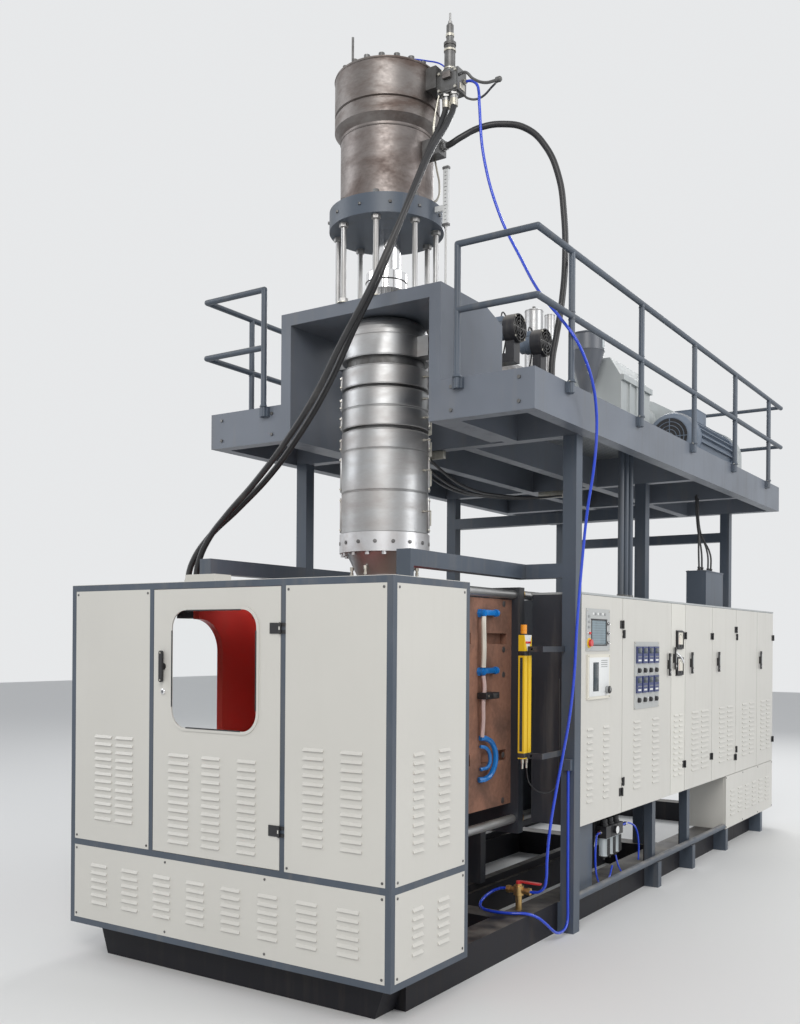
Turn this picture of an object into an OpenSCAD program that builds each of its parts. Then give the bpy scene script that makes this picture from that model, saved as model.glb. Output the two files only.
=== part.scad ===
// Blow moulding machine with an accumulator head: platform, extruder, clamp and cabinets.
// Origin on the floor under the head axis; +X to the operator's right, +Y along the machine, +Z up.

/* [Floor plan] */
// Half of the width across the guard and the control cabinets
half_w = 985; // [970:1:1000]
// Distance from the head axis to the guard's front face
guard_front = 1372; // [1360:2:1400]
// Depth of the front guard
guard_depth = 626; // [600:2:660]
// Distance from the head axis to the first control cabinet
control_start = 500; // [490:2:520]
// Width of each control cabinet door, from the head backwards
door_widths = [610, 870, 290, 615, 620, 615, 520];
// Depth of the control cabinets
cabinet_depth = 280; // [240:5:290]
// Length of the closed lower cabinet at the rear
lower_cabinet_len = 1380; // [1200:10:1500]

/* [Heights] */
// Height of the base beams
base_h = 165; // [150:1:180]
// Middle rail of the guard and underside of the control cabinets
mid_z = 577; // [560:1:600]
// Top of the guard and the control cabinets
cab_top = 1872; // [1850:2:1900]
// Underside of the platform
platform_z = 2746; // [2730:2:2780]
// Height of the platform beams
platform_beam_h = 207; // [190:1:220]
// Top of the portal that carries the head
portal_top = 3465; // [3450:1:3500]
// Thickness of the portal's plates
portal_t = 70; // [60:1:80]

/* [Sheet metal] */
// Wall of the panels and doors
sheet = 2; // [1.5:0.1:3]
// Depth of the folded edges of panels and doors
tray_d = 20; // [18:1:24]
// Square tube of the guard's frame
tube = 30; // [28:1:34]
// Gap around doors
door_gap = 6; // [6:0.5:8]
// How far a louvre stands out
louvre_out = 8; // [6:0.5:10]
// Height of a louvre
louvre_h = 14; // [12:0.5:16]
// Height from one louvre to the next
louvre_pitch = 37; // [34:0.5:40]

/* [Platform] */
// Half of the platform's width
platform_half = 1075; // [1065:1:1085]
// Distance from the head axis to the platform's front edge
platform_front = 281; // [276:1:290]
// Distance from the head axis to the platform's rear edge
platform_rear = 4450; // [4430:5:4550]
// Width of the platform beams
beam_w = 80; // [70:1:90]
// Square column under the platform
column_w = 80; // [76:1:84]
// Diameter of the railing tubes
rail_d = 34; // [30:1:38]
// Height of the top rail
rail_top_z = 3626; // [3600:2:3680]
// Height of the middle rail
rail_mid_z = 3291; // [3270:2:3320]

/* [Head] */
// Diameter over the heater bands
heater_d = 490; // [480:1:500]
// Diameter of the steel body under the heater bands
head_d = 440; // [430:1:450]
// Bore of the accumulator
head_bore = 300; // [290:1:310]
// Diameter of the lower flange
flange_d = 510; // [505:1:530]
// Bottom of the lower flange
flange_z = 2094; // [2080:1:2100]
// Thickness of the lower flange
flange_t = 106; // [100:1:110]
// Diameter of the tie rods over the portal
tie_d = 30; // [28:1:36]
// Number of tie rods over the portal
tie_count = 8; // [6:1:10]
// Pitch circle of the tie rods
tie_pcd = 565; // [560:1:575]
// Underside of the upper plate
upper_z = 3907; // [3890:1:3930]
// Thickness of the upper plate
upper_t = 109; // [100:1:115]
// Diameter of the push cylinder
cylinder_d = 526; // [515:1:535]
// Length of the push cylinder
cylinder_len = 409; // [390:1:430]
// Diameter of the cylinder's cap
cap_d = 595; // [585:1:610]
// Height of the cylinder's cap
cap_h = 337; // [320:1:350]
// Bore of the push cylinder
cylinder_bore = 380; // [360:1:400]
// Diameter of the chromed ram
ram_d = 160; // [150:1:170]
// Diameter of the rod that moves the core
core_rod_d = 40; // [36:1:44]
// Stroke of the ram
ram_stroke = 200; // [180:1:220]

/* [Extruder] */
// Height of the extruder's axis
extruder_z = 3360; // [3350:1:3370]
// Diameter of the extruder barrel
barrel_d = 150; // [140:1:160]
// Diameter of the screw
screw_d = 90; // [80:1:100]
// Diameter of the cover round the barrel
cover_d = 300; // [290:1:310]
// Front end of the barrel
barrel_start = 420; // [410:1:440]
// Front face of the feed throat
throat_y = 2650; // [2640:5:2700]
// Front face of the gearbox
gearbox_y = 2960; // [2950:5:3000]

/* [Clamp] */
// Gap between the platens and the control cabinets
clamp_gap = 34; // [30:1:40]
// Gap between the mould and the die over it
die_gap = 60; // [50:1:70]
// Height of the mould
mould_h = 1150; // [1120:1:1160]
// Thickness of one mould half
mould_t = 405; // [395:1:415]
// Thickness of a platen
platen_t = 60; // [50:1:70]
// Diameter of the tie bars
bar_d = 50; // [44:1:56]
// Distance of the tie bars from the platens' sides
bar_edge = 40; // [38:1:44]
// Distance of the lower tie bars under the mould
bar_under = 90; // [80:1:95]
// Distance of the upper tie bars over the mould
bar_over = 32; // [30:1:40]
// Travel of each platen
clamp_stroke = 270; // [250:1:275]

/* [Hidden] */
$fn = 64;
NODES = [
    "base_frame", "platform_columns", "guard_frame", "guard_panels", "guard_door", "guard_window",
    "guard_door_handle", "hinges", "control_carcass", "lower_cabinet",
    "control_door_1", "control_door_2", "control_door_3", "control_door_4",
    "control_door_5", "control_door_6", "control_door_7",
    "operator_panels", "emergency_stop", "heat_controllers",
    "platform_frame", "platform_deck", "railings", "portal_frame",
    "head_body", "head_heaters", "die_flange", "die_core", "tie_rods", "push_cylinder", "cylinder_cap",
    "push_ram", "position_scale", "valve_block",
    "extruder_barrel", "extruder_screw", "barrel_cover", "blower_housings", "blower_fan_1", "blower_fan_2",
    "hopper", "hopper_lid", "gearbox", "drive_motor",
    "front_platen", "rear_platen", "front_mould", "rear_mould", "tie_bars", "clamp_cylinder",
    "blow_pin_base", "blow_pin", "light_curtain", "air_service_unit", "valve_handle",
    "pressure_hose", "return_hose", "side_hose", "air_hose", "floor_hose"
];
node = "all";

enamel_light = [0.80, 0.79, 0.75];
enamel_dark = [0.20, 0.24, 0.29];
steel_bright = [0.78, 0.78, 0.78];
steel_brown = [0.48, 0.40, 0.35];
black_paint = [0.10, 0.10, 0.11];
red_paint = [0.72, 0.13, 0.10];
blue_hose = [0.10, 0.25, 0.75];

guard_back = guard_front - guard_depth;
guard_inner_x = half_w - tube;
door_left = -397;
door_right = 395;
bar_w = 26;
base_front = guard_front - 110;
base_half = half_w - 95;
base_beam_w = 150;
base_rear = platform_rear + 60;
platform_top = platform_z + platform_beam_h;
deck_t = 6;
fit_gap = 0.05;
body_gap = 0.5;
panel_gap = 0.3;
upper_top = upper_z + upper_t;
cylinder_top = upper_top + cylinder_len;
cap_top = cylinder_top + cap_h;
head_top = portal_top - portal_t;
carcass_x = half_w - tray_d - 1;
column_x = half_w - column_w;
platen_half = carcass_x - cabinet_depth - clamp_gap;
bar_x = platen_half - bar_edge;
mould_half = bar_x - 10;
die_z = flange_z - 194;
mould_top = die_z - die_gap;
mould_z = mould_top - mould_h;
bar_low = mould_z - bar_under;
bar_high = mould_top + bar_over;
platen_high = bar_high + bar_edge;
column_y = control_start - column_w;
column_rows = [column_y, 2320, platform_rear - beam_w];
rail_x = platform_half + rail_d / 2 + 4;

function control_end(n) = n == 0 ? 0 : door_widths[n - 1] + control_end(n - 1);

// Sheet metal

module tray(w, h) {
    difference() {
        cube([w, tray_d, h]);
        translate([sheet, sheet, sheet])
            cube([w - 2 * sheet, tray_d, h - 2 * sheet]);
    }
}

module louvre_hoods(w, rows) {
    rotate([90, 0, 90])
        linear_extrude(w)
            for (i = [0:rows - 1])
                translate([0, i * louvre_pitch])
                    polygon([[sheet / 2, louvre_h], [0, louvre_h], [-louvre_out, 0], [sheet / 2, 0]]);
}

module louvre_slots(w, rows) {
    rotate([90, 0, 90])
        linear_extrude(w)
            for (i = [0:rows - 1])
                translate([0, i * louvre_pitch])
                    polygon([[sheet + 1, louvre_h - sheet - 1], [0, louvre_h - sheet - 1],
                             [sheet - louvre_out, -1], [sheet + 1, -1]]);
}

// A folded sheet whose outer face looks along -Y, with columns of louvres given as [x, width]
module louvred_tray(w, h, columns, z, rows) {
    difference() {
        union() {
            tray(w, h);
            for (c = columns)
                translate([c[0], 0, z])
                    louvre_hoods(c[1], rows);
        }
        for (c = columns)
            translate([c[0] + sheet, 0, z])
                louvre_slots(c[1] - 2 * sheet, rows);
    }
}

// Frame of the base, the clamp's rails and the supports under the control cabinets

rail_gauge = 350;
clamp_rail_h = 40;
clamp_rail_w = 50;
clamp_rail_start = mould_t + platen_t + clamp_stroke + 265;
clamp_rail_end = 2220;
skirt_len = 350;
skirt_t = 4;
pipe_d = 42;
foot_w = 60;
skirt_posts = [1760, 2460];
lower_cabinet_y = control_start + control_end(7) - lower_cabinet_len;
cross_beams = [-base_beam_w / 2, column_rows[1] + (column_w - base_beam_w) / 2];
anchor_r = 11;
anchor_inset = 60;
valve_x = base_half - 100;
valve_y = 145;

module base_frame() {
    side_len = base_front + base_rear - 2 * base_beam_w;
    spans = [[base_beam_w - base_front, cross_beams[0]], [cross_beams[0] + base_beam_w, cross_beams[1]]];
    color(black_paint) {
        difference() {
            union() {
                for (s = [-1, 1])
                    translate([s * (base_half - base_beam_w / 2) - base_beam_w / 2, base_beam_w - base_front, 0])
                        cube([base_beam_w, side_len, base_h]);
                translate([0, base_beam_w - base_front, 0])
                    rotate([90, 0, 0])
                        linear_extrude(base_beam_w)
                            polygon([[60 - base_half, 0], [base_half - 60, 0],
                                     [base_half, base_h], [-base_half, base_h]]);
                translate([-base_half, base_rear - base_beam_w, 0])
                    cube([2 * base_half, base_beam_w, base_h]);
                for (y = cross_beams)
                    translate([base_beam_w - base_half, y, 0])
                        cube([2 * (base_half - base_beam_w), base_beam_w, base_h]);
                for (s = [-1, 1], span = spans)
                    translate([s * rail_gauge - clamp_rail_w, span[0], 0])
                        cube([2 * clamp_rail_w, span[1] - span[0], base_h]);
            }
            for (x = [anchor_inset - base_half + 60, base_half - 60 - anchor_inset],
                 y = [anchor_inset - base_front, base_rear - anchor_inset])
                translate([x, y, -1])
                    cylinder(r = anchor_r, h = base_h + 2);
        }
        for (s = [-1, 1])
            translate([s * rail_gauge - clamp_rail_w / 2, -clamp_rail_start, base_h])
                cube([clamp_rail_w, clamp_rail_start + clamp_rail_end, clamp_rail_h]);
    }
    color(enamel_dark) {
        for (y = column_rows)
            translate([-half_w, y, 0])
                cube([half_w - base_half, column_w, base_h]);
        translate([base_half, column_y, 0])
            cube([half_w - base_half, column_w, base_h]);
        for (y = [skirt_posts[0], skirt_posts[1], lower_cabinet_y, lower_cabinet_y + 1000])
            translate([base_half, y, 0])
                cube([half_w - base_half, foot_w, base_h]);
        translate([column_x, control_start, base_h])
            cube([skirt_t, skirt_len, mid_z - base_h]);
        for (y = skirt_posts)
            translate([half_w - pipe_d - foot_w - 2, y, base_h])
                cube([foot_w, foot_w, mid_z - base_h]);
        translate([half_w - pipe_d / 2, control_start, base_h + pipe_d / 2])
            rotate([-90, 0, 0])
                cylinder(d = pipe_d, h = lower_cabinet_y - control_start);
    }
    color([0.6, 0.55, 0.4])
        translate([valve_x, valve_y, base_h])
            union() {
                cylinder(d = 34, h = 140);
                translate([0, 0, 80])
                    cylinder(d = 56, h = 50);
                translate([-60, 0, 105])
                    rotate([0, 90, 0])
                        cylinder(d = 34, h = 120);
            }
}

// Columns under the platform, with the side beams that join them to the guard over the mould

side_beam = 80;
side_beam_x = platen_half + 30;
side_beam_z = max(cab_top + 88, platen_high + 40);
brace_z = platform_z - 246;
hose_clip = [40, 30, 60];
inner_column_x = carcass_x - cabinet_depth - 12 - column_w;
right_columns = [column_x, inner_column_x, inner_column_x];

module platform_columns() {
    color(enamel_dark) {
        for (i = [0:2]) {
            translate([-half_w, column_rows[i], base_h])
                cube([column_w, column_w, platform_z - base_h]);
            translate([right_columns[i], column_rows[i], base_h])
                cube([column_w, column_w, platform_z - base_h]);
        }
        for (s = [-1, 1]) {
            translate([s * (side_beam_x - side_beam / 2) - side_beam / 2, -guard_back - tube, side_beam_z])
                cube([side_beam, guard_back + tube + column_y + column_w, side_beam]);
            translate([s > 0 ? side_beam_x : -column_x, column_y, side_beam_z])
                cube([column_x - side_beam_x, column_w, side_beam]);
            translate([s * (side_beam_x - side_beam / 2) - side_beam / 2, -guard_back - tube, cab_top])
                cube([side_beam, tube, side_beam_z - cab_top]);
        }
        for (i = [1, 2])
            translate([-column_x, column_rows[i], brace_z])
                cube([column_x + inner_column_x, column_w, column_w]);
        translate([half_w - 50, column_y - hose_clip[1], 900])
            cube(hose_clip);
    }
}

// Front guard

hose_block = [140, 90, 154];
hose_block_x = 105 - half_w;

module guard_frame() {
    post_h = cab_top - base_h;
    mid = mid_z - tube / 2;
    color(enamel_dark) {
        for (x = [-half_w, half_w - tube], y = [-guard_front, -guard_back - tube])
            translate([x, y, base_h])
                cube([tube, tube, post_h]);
        for (z = [base_h, mid, cab_top - tube])
            translate([-guard_inner_x, -guard_front, z])
                cube([2 * guard_inner_x, tube, tube]);
        translate([-guard_inner_x, -guard_back - tube, cab_top - tube])
            cube([2 * guard_inner_x, tube, tube]);
        for (x = [-half_w, half_w - tube], z = [base_h, mid, cab_top - tube])
            translate([x, -guard_front + tube, z])
                cube([tube, guard_depth - 2 * tube, tube]);
        for (x = [door_left - bar_w, door_right])
            translate([x, -guard_front, mid + tube])
                cube([bar_w, tube, cab_top - mid - 2 * tube]);
        translate([-guard_inner_x, 20 - base_front, base_h])
            cube([2 * guard_inner_x, tube, tube]);
        for (s = [-1, 1])
            translate([s > 0 ? base_half - 100 : -guard_inner_x, -guard_back - tube, base_h])
                cube([guard_inner_x - base_half + 100, tube, tube]);
        translate([hose_block_x, -guard_back, cab_top + sheet - hose_block[2]])
            cube(hose_block);
    }
}

panel_z = mid_z + tube / 2 + panel_gap;
panel_h = cab_top - tube - panel_z - panel_gap;
low_z = base_h + tube + panel_gap;
low_h = mid_z - tube / 2 - panel_gap - low_z;
upper_rows = 12;
lower_rows = 6;
roof_box = [190, 120, 45];

module guard_panels() {
    left_x = -guard_inner_x + panel_gap;
    left_w = door_left - bar_w - panel_gap - left_x;
    right_x = door_right + bar_w + panel_gap;
    right_w = guard_inner_x - panel_gap - right_x;
    side_w = guard_depth - 2 * tube - 2 * panel_gap;
    low_w = 2 * (guard_inner_x - panel_gap);
    color(enamel_light) {
        translate([left_x, -guard_front, panel_z])
            louvred_tray(left_w, panel_h, [[150, 120], [300, 120]], 112, upper_rows);
        translate([right_x, -guard_front, panel_z])
            louvred_tray(right_w, panel_h, [[102, 110], [306, 110]], 128, upper_rows);
        translate([left_x, -guard_front, low_z])
            louvred_tray(low_w, low_h, [for (i = [0:7]) [128 + i * (low_w - 150) / 8, 112]], 85, lower_rows);
        for (s = [1, -1], low = [false, true])
            translate([s * half_w, s > 0 ? tube + panel_gap - guard_front : -guard_back - tube - panel_gap,
                       low ? low_z : panel_z])
                rotate([0, 0, s * 90])
                    louvred_tray(side_w, low ? low_h : panel_h, [[130, 80], [335, 90]], low ? 85 : 120,
                                 low ? lower_rows : upper_rows);
        translate([-half_w, -guard_front, cab_top])
            difference() {
                cube([2 * half_w, guard_depth, sheet]);
                for (s = [-1, 1])
                    translate([half_w + s * (side_beam_x - side_beam / 2) - side_beam / 2 - panel_gap,
                               guard_depth - tube - panel_gap, -1])
                        cube([side_beam + 2 * panel_gap, tube + 2, sheet + 2]);
            }
    }
    color(black_paint)
        translate([-340, -guard_front + 150, cab_top + sheet])
            cube(roof_box);
}

// Guard door, hinged at its right edge

gd_x = door_left + 3;
gd_w = door_right - door_left - 6;
win_x0 = -270;
win_x1 = 256;
win_z1 = cab_top - 132;
win_z0 = win_z1 - 550;
win_r = 85;
hinge_axis_out = 9;
knuckle_r = 6;
pin_r = 3;
hinge_inset = 4;

module rounded_rect(w, h, r) {
    union() {
        translate([r, 0])
            square([w - 2 * r, h]);
        translate([0, r])
            square([w, h - 2 * r]);
        for (x = [r, w - r], y = [r, h - r])
            translate([x, y])
                circle(r);
    }
}

module window_outline(grow) {
    translate([win_x0 - grow, win_z0 - grow])
        rounded_rect(win_x1 - win_x0 + 2 * grow, win_z1 - win_z0 + 2 * grow, win_r + grow);
}

module guard_door() {
    color(enamel_light) {
        difference() {
            translate([gd_x, -guard_front, panel_z + 2])
                louvred_tray(gd_w, panel_h - 4, [[105, 130], [320, 112], [540, 108]], 50, upper_rows);
            translate([0, -guard_front + sheet + 1, 0])
                rotate([90, 0, 0])
                    linear_extrude(sheet + 2)
                        window_outline(0);
            spindle_hole(handle_x, handle_z, -guard_front);
        }
        for (z = door_hinge_z)
            translate([door_right, -guard_front - hinge_axis_out, z])
                moving_leaf(60, door_right - gd_x - gd_w);
    }
    color(black_paint)
        translate([0, -guard_front, 0])
            rotate([90, 0, 0])
                linear_extrude(5)
                    difference() {
                        window_outline(14);
                        window_outline(0);
                    }
}

module guard_window() {
    color([0.75, 0.82, 0.85, 0.4])
        translate([0, -guard_front + sheet + 4, 0])
            rotate([90, 0, 0])
                linear_extrude(4)
                    window_outline(18);
}

// Hinges: each has a fixed half with its pin, and a leaf on the door

hinge_h = 48;
door_hinge_z = [mid_z + 188, cab_top - 217];
leaf_t = 4;

module fixed_half(reach, side = 0) {
    third = hinge_h / 3;
    for (z = [-hinge_h / 2, hinge_h / 2 - third]) {
        translate([0, 0, z])
            cylinder(r = knuckle_r, h = third);
        translate([side - leaf_t / 2, 0, z])
            cube([leaf_t, reach, third]);
    }
    translate([0, 0, -hinge_h / 2 - 2])
        cylinder(r = pin_r, h = hinge_h + 4);
}

// The leaf lies on the door's face, to the -X side of the pin
module moving_leaf(w, gap) {
    third = hinge_h / 3;
    difference() {
        union() {
            translate([0, 0, -third / 2 + body_gap])
                cylinder(r = knuckle_r, h = third - 2 * body_gap);
            translate([-w - gap, hinge_axis_out - leaf_t, -hinge_h / 2])
                cube([w + gap - knuckle_r - 1, leaf_t, hinge_h]);
            translate([-knuckle_r - 2, hinge_axis_out - leaf_t, -third / 2 + body_gap])
                cube([knuckle_r + 2, leaf_t, third - 2 * body_gap]);
        }
        translate([0, 0, -hinge_h])
            cylinder(r = pin_r + fit_gap, h = 2 * hinge_h);
    }
}

// Handles

handle_x = -328;
handle_z = cab_top - 397;
handle_len = 150;
spindle_r = 9;

module spindle_hole(x, z, y) {
    translate([x, y - 1, z])
        rotate([-90, 0, 0])
            cylinder(r = spindle_r + fit_gap, h = sheet + 2);
}

module bar_handle() {
    union() {
        translate([0, sheet + 6, 0])
            rotate([90, 0, 0])
                cylinder(r = spindle_r, h = sheet + 6 + 12);
        rotate([90, 0, 0])
            translate([0, 0, 0.5])
                cylinder(r = 16, h = 6);
        translate([0, -12, 0])
            rotate([90, 0, 0])
                linear_extrude(12)
                    union() {
                        translate([-11, -handle_len / 2 + 11])
                            square([22, handle_len - 22]);
                        for (z = [-1, 1])
                            translate([0, z * (handle_len / 2 - 11)])
                                circle(11);
                    }
        translate([0, sheet + 6, 0])
            rotate([90, 0, 0])
                linear_extrude(4)
                    translate([-60, -9])
                        square([60, 18]);
    }
}

module guard_door_handle() {
    color(black_paint)
        translate([handle_x, -guard_front, handle_z])
            bar_handle();
}

module hinges() {
    color(black_paint) {
        for (z = door_hinge_z)
            translate([door_right, -guard_front - hinge_axis_out, z]) {
                fixed_half(hinge_axis_out);
                for (s = [-1, 1])
                    translate([-leaf_t / 2, hinge_axis_out - leaf_t, s * hinge_h / 3 - hinge_h / 6])
                        cube([bar_w, leaf_t, hinge_h / 3]);
            }
        for (n = [1:7])
            for (z = control_hinge_z(n))
                translate([half_w + hinge_axis_out, control_hinge_y(n), z])
                    rotate([0, 0, 90])
                        mirror([door_far[n - 1] ? 0 : 1, 0, 0])
                            fixed_half(half_w + hinge_axis_out - carcass_x, hinge_inset + door_gap / 2);
    }
}

// Control cabinets

// 1 where a door is hinged at its far edge, 0 where it is hinged at its near edge
door_far = [1, 0, 1, 1, 1, 0, 1];

function control_hinge_y(n) = control_start + control_end(n - 1 + door_far[n - 1])
    + (door_far[n - 1] ? -1 : 1) * (door_gap / 2 + hinge_inset);
function control_hinge_z(n) = (n == 1 || n == 5) ? [mid_z + 128, cab_top - 160] : door_hinge_z;

wall = 3;

module control_carcass() {
    total = control_end(7);
    color(enamel_dark)
        difference() {
            translate([carcass_x - cabinet_depth, control_start, mid_z])
                cube([cabinet_depth, total + door_gap + wall, cab_top - mid_z]);
            for (n = [1:7])
                translate([carcass_x - cabinet_depth + wall, control_start + control_end(n - 1) + (n == 1 ? wall : 12),
                           mid_z + wall])
                    cube([cabinet_depth, door_widths[n - 1] - (n == 1 ? 12 + wall : 24), cab_top - mid_z - 2 * wall]);
        }
    color([0.55, 0.57, 0.58])
        translate([carcass_x - cabinet_depth - 10, control_start, cab_top])
            cube([half_w - carcass_x + cabinet_depth + 10, total + door_gap + wall, 12]);
    color(enamel_dark) {
        translate([carcass_x - 200, control_start + 2450, cab_top + 12])
            cube([150, 430, 260]);
        for (y = [1500, 1580, 1660])
            translate([carcass_x - 150, y, cab_top + 12])
                cylinder(d = 38, h = platform_top - deck_t - cab_top - 12);
    }
}

module lower_cabinet() {
    y0 = lower_cabinet_y;
    depth = half_w - tray_d - tube - carcass_x + cabinet_depth;
    color(enamel_light) {
        for (y = [y0, y0 + lower_cabinet_len - sheet])
            translate([half_w - tray_d - tube - depth, y, base_h])
                cube([depth, sheet, mid_z - base_h]);
        translate([half_w - tray_d - tube - depth, y0 + sheet, base_h])
            cube([sheet, lower_cabinet_len - 2 * sheet, mid_z - base_h]);
        translate([half_w, y0 + 2, base_h + 2])
            rotate([0, 0, 90])
                louvred_tray(lower_cabinet_len - 4, mid_z - base_h - 4,
                             [for (y = [120:205:lower_cabinet_len - 225]) [y, 110]], 90, lower_rows);
    }
    color(enamel_dark) {
        for (z = [base_h, mid_z - tube])
            translate([half_w - tray_d - tube, y0, z])
                cube([tube, lower_cabinet_len, tube]);
        for (y = [y0, y0 + lower_cabinet_len - tube])
            translate([half_w - tray_d - tube, y, base_h + tube])
                cube([tube, tube, mid_z - base_h - 2 * tube]);
    }
}

// One control door with its hinge leaves and handle
module control_door(n, columns) {
    w = door_widths[n - 1] - door_gap;
    h = cab_top - mid_z - 4;
    far = door_far[n - 1];
    color(enamel_light)
        translate([half_w, control_start + control_end(n - 1) + door_gap / 2, mid_z + 2])
            rotate([0, 0, 90])
                difference() {
                    louvred_tray(w, h, columns, 120, upper_rows);
                    if (n == 1)
                        translate([stop_y - control_start - door_gap / 2, -1, stop_z - mid_z - 2])
                            rotate([-90, 0, 0])
                                cylinder(r = stop_r + fit_gap, h = sheet + 2);
                }
    color(black_paint)
        for (z = control_hinge_z(n))
            translate([half_w + hinge_axis_out, control_hinge_y(n), z])
                rotate([0, 0, 90])
                    mirror([far ? 0 : 1, 0, 0])
                        moving_leaf(34, 0);
}

module pull_handle(y, drop) {
    z = cab_top - drop;
    color(black_paint) {
        translate([half_w, y - 6, z - 30])
            cube([10, 12, 60]);
        translate([half_w + 10, y - 11, z - handle_len / 2])
            cube([12, 22, handle_len]);
    }
}

module control_door_1() {
    control_door(1, [[85, 75], [320, 78]]);
}

module control_door_2() {
    control_door(2, [[190, 110], [520, 110]]);
    pull_handle(control_start + control_end(2) - 65, 412);
}

module control_door_3() {
    control_door(3, [[60, 70], [165, 70]]);
    pull_handle(control_start + control_end(2) + 45, 372);
    color([0.6, 0.6, 0.6])
        for (z = [cab_top - 492, cab_top - 312])
            translate([half_w, control_start + control_end(2) + 90, z])
                cube([4, 130, 130]);
}

module control_door_4() {
    control_door(4, [[150, 145], [365, 160]]);
    pull_handle(control_start + control_end(3) + 110, 407);
}

module control_door_5() {
    control_door(5, [[185, 130], [395, 130]]);
    pull_handle(control_start + control_end(4) + 125, 407);
}

module control_door_6() {
    control_door(6, [[185, 130], [395, 130]]);
}

module control_door_7() {
    control_door(7, [[130, 110], [310, 110]]);
    pull_handle(control_start + control_end(6) + 75, 407);
}

// Operator's plates on the first control door

stop_r = 10;
stop_travel = 5;
plate_t = 6;
screen_y = control_start + 132;
screen_z = cab_top - 280;
stop_y = screen_y - 38;
stop_z = screen_z + 8;
screen_w = 206;
screen_h = 138;

module operator_panels() {
    color([0.62, 0.63, 0.62])
        difference() {
            translate([half_w, screen_y - 72, screen_z - 37])
                cube([plate_t, 335, 240]);
            translate([half_w + 2, screen_y, screen_z])
                cube([plate_t, screen_w, screen_h]);
            translate([half_w - 1, stop_y, stop_z])
                rotate([0, 90, 0])
                    cylinder(r = stop_r + fit_gap, h = plate_t + 2);
        }
    color([0.25, 0.35, 0.45])
        translate([half_w + 2, screen_y + 4, screen_z + 4])
            cube([3, screen_w - 8, screen_h - 8]);
    color([0.3, 0.3, 0.3])
        for (i = [0:2])
            translate([half_w + plate_t, screen_y + 236, screen_z + 10 + i * 55])
                rotate([0, 90, 0])
                    cylinder(r = 9, h = 8);
    color([0.82, 0.80, 0.72])
        translate([half_w, screen_y - 60, screen_z - 312])
            cube([10, 320, 255]);
    color(black_paint)
        translate([half_w + 10, screen_y + 8, screen_z - 267])
            cube([3, 80, 165]);
    color([0.3, 0.3, 0.3])
        translate([half_w + 10, screen_y + 203, screen_z - 262])
            rotate([0, 90, 0])
                cylinder(r = 22, h = 20);
}

module emergency_stop() {
    color(red_paint)
        translate([half_w + 1, stop_y, stop_z])
            rotate([0, 90, 0])
                union() {
                    cylinder(r = stop_r, h = plate_t + stop_travel + 3);
                    translate([0, 0, plate_t + stop_travel + 1])
                        cylinder(r = 20, h = 12);
                }
}

controller_y = control_start + control_end(1) + 190;
controller_z = cab_top - 682;

module heat_controllers() {
    color([0.6, 0.61, 0.6])
        translate([half_w, controller_y, controller_z])
            cube([5, 430, 420]);
    color([0.10, 0.13, 0.30])
        for (row = [0, 1], i = [0:3])
            translate([half_w + 5, controller_y + 22 + i * 102, controller_z + 100 + row * 185])
                cube([10, 80, 105]);
    color([0.15, 0.15, 0.15])
        for (row = [0, 1], i = [0:3])
            translate([half_w + 5, controller_y + 62 + i * 102, controller_z + 55 + row * 185])
                rotate([0, 90, 0])
                    cylinder(r = 15, h = 16);
}

// Platform

recess_half = 534;
recess_back = 430;

module platform_frame() {
    color(enamel_dark) {
        for (s = [-1, 1]) {
            translate([s > 0 ? platform_half - beam_w : -platform_half, -platform_front, platform_z])
                cube([beam_w, platform_front + platform_rear, platform_beam_h]);
            translate([s > 0 ? recess_half : -platform_half + beam_w, -platform_front, platform_z])
                cube([platform_half - beam_w - recess_half, beam_w, platform_beam_h]);
            translate([s > 0 ? recess_half : -recess_half - beam_w, -platform_front + beam_w, platform_z])
                cube([beam_w, platform_front - beam_w + recess_back, platform_beam_h]);
        }
        translate([-platform_half + beam_w, recess_back, platform_z])
            cube([2 * (platform_half - beam_w), beam_w, platform_beam_h]);
        translate([-platform_half + beam_w, platform_rear - beam_w, platform_z])
            cube([2 * (platform_half - beam_w), beam_w, platform_beam_h]);
        for (y = [column_rows[1], 3380])
            translate([-platform_half + beam_w, y, platform_z])
                cube([2 * (platform_half - beam_w), column_w, platform_beam_h - deck_t]);
        for (s = [-1, 1])
            for (span = [[recess_back + beam_w, column_rows[1]], [column_rows[1] + column_w, 3380],
                         [3380 + column_w, platform_rear - beam_w]])
                translate([s * 260 - 40, span[0], platform_z])
                    cube([80, span[1] - span[0], platform_beam_h - deck_t]);
    }
}

module platform_deck() {
    z = platform_top - deck_t;
    color([0.35, 0.37, 0.39]) {
        translate([-platform_half + beam_w, recess_back + beam_w, z])
            cube([2 * (platform_half - beam_w), platform_rear - recess_back - 2 * beam_w, deck_t]);
        for (s = [-1, 1])
            translate([s > 0 ? recess_half + beam_w : -platform_half + beam_w, -platform_front + beam_w, z])
                cube([platform_half - 2 * beam_w - recess_half, platform_front - beam_w + recess_back, deck_t]);
    }
}

// Railings: posts in sleeves on the outer faces of the beams

post_ys = [100, 1098, 2088, 3045, 4009];
front_post_x = 646;
rail_corner_y = -platform_front - rail_d / 2 - 4;

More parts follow.
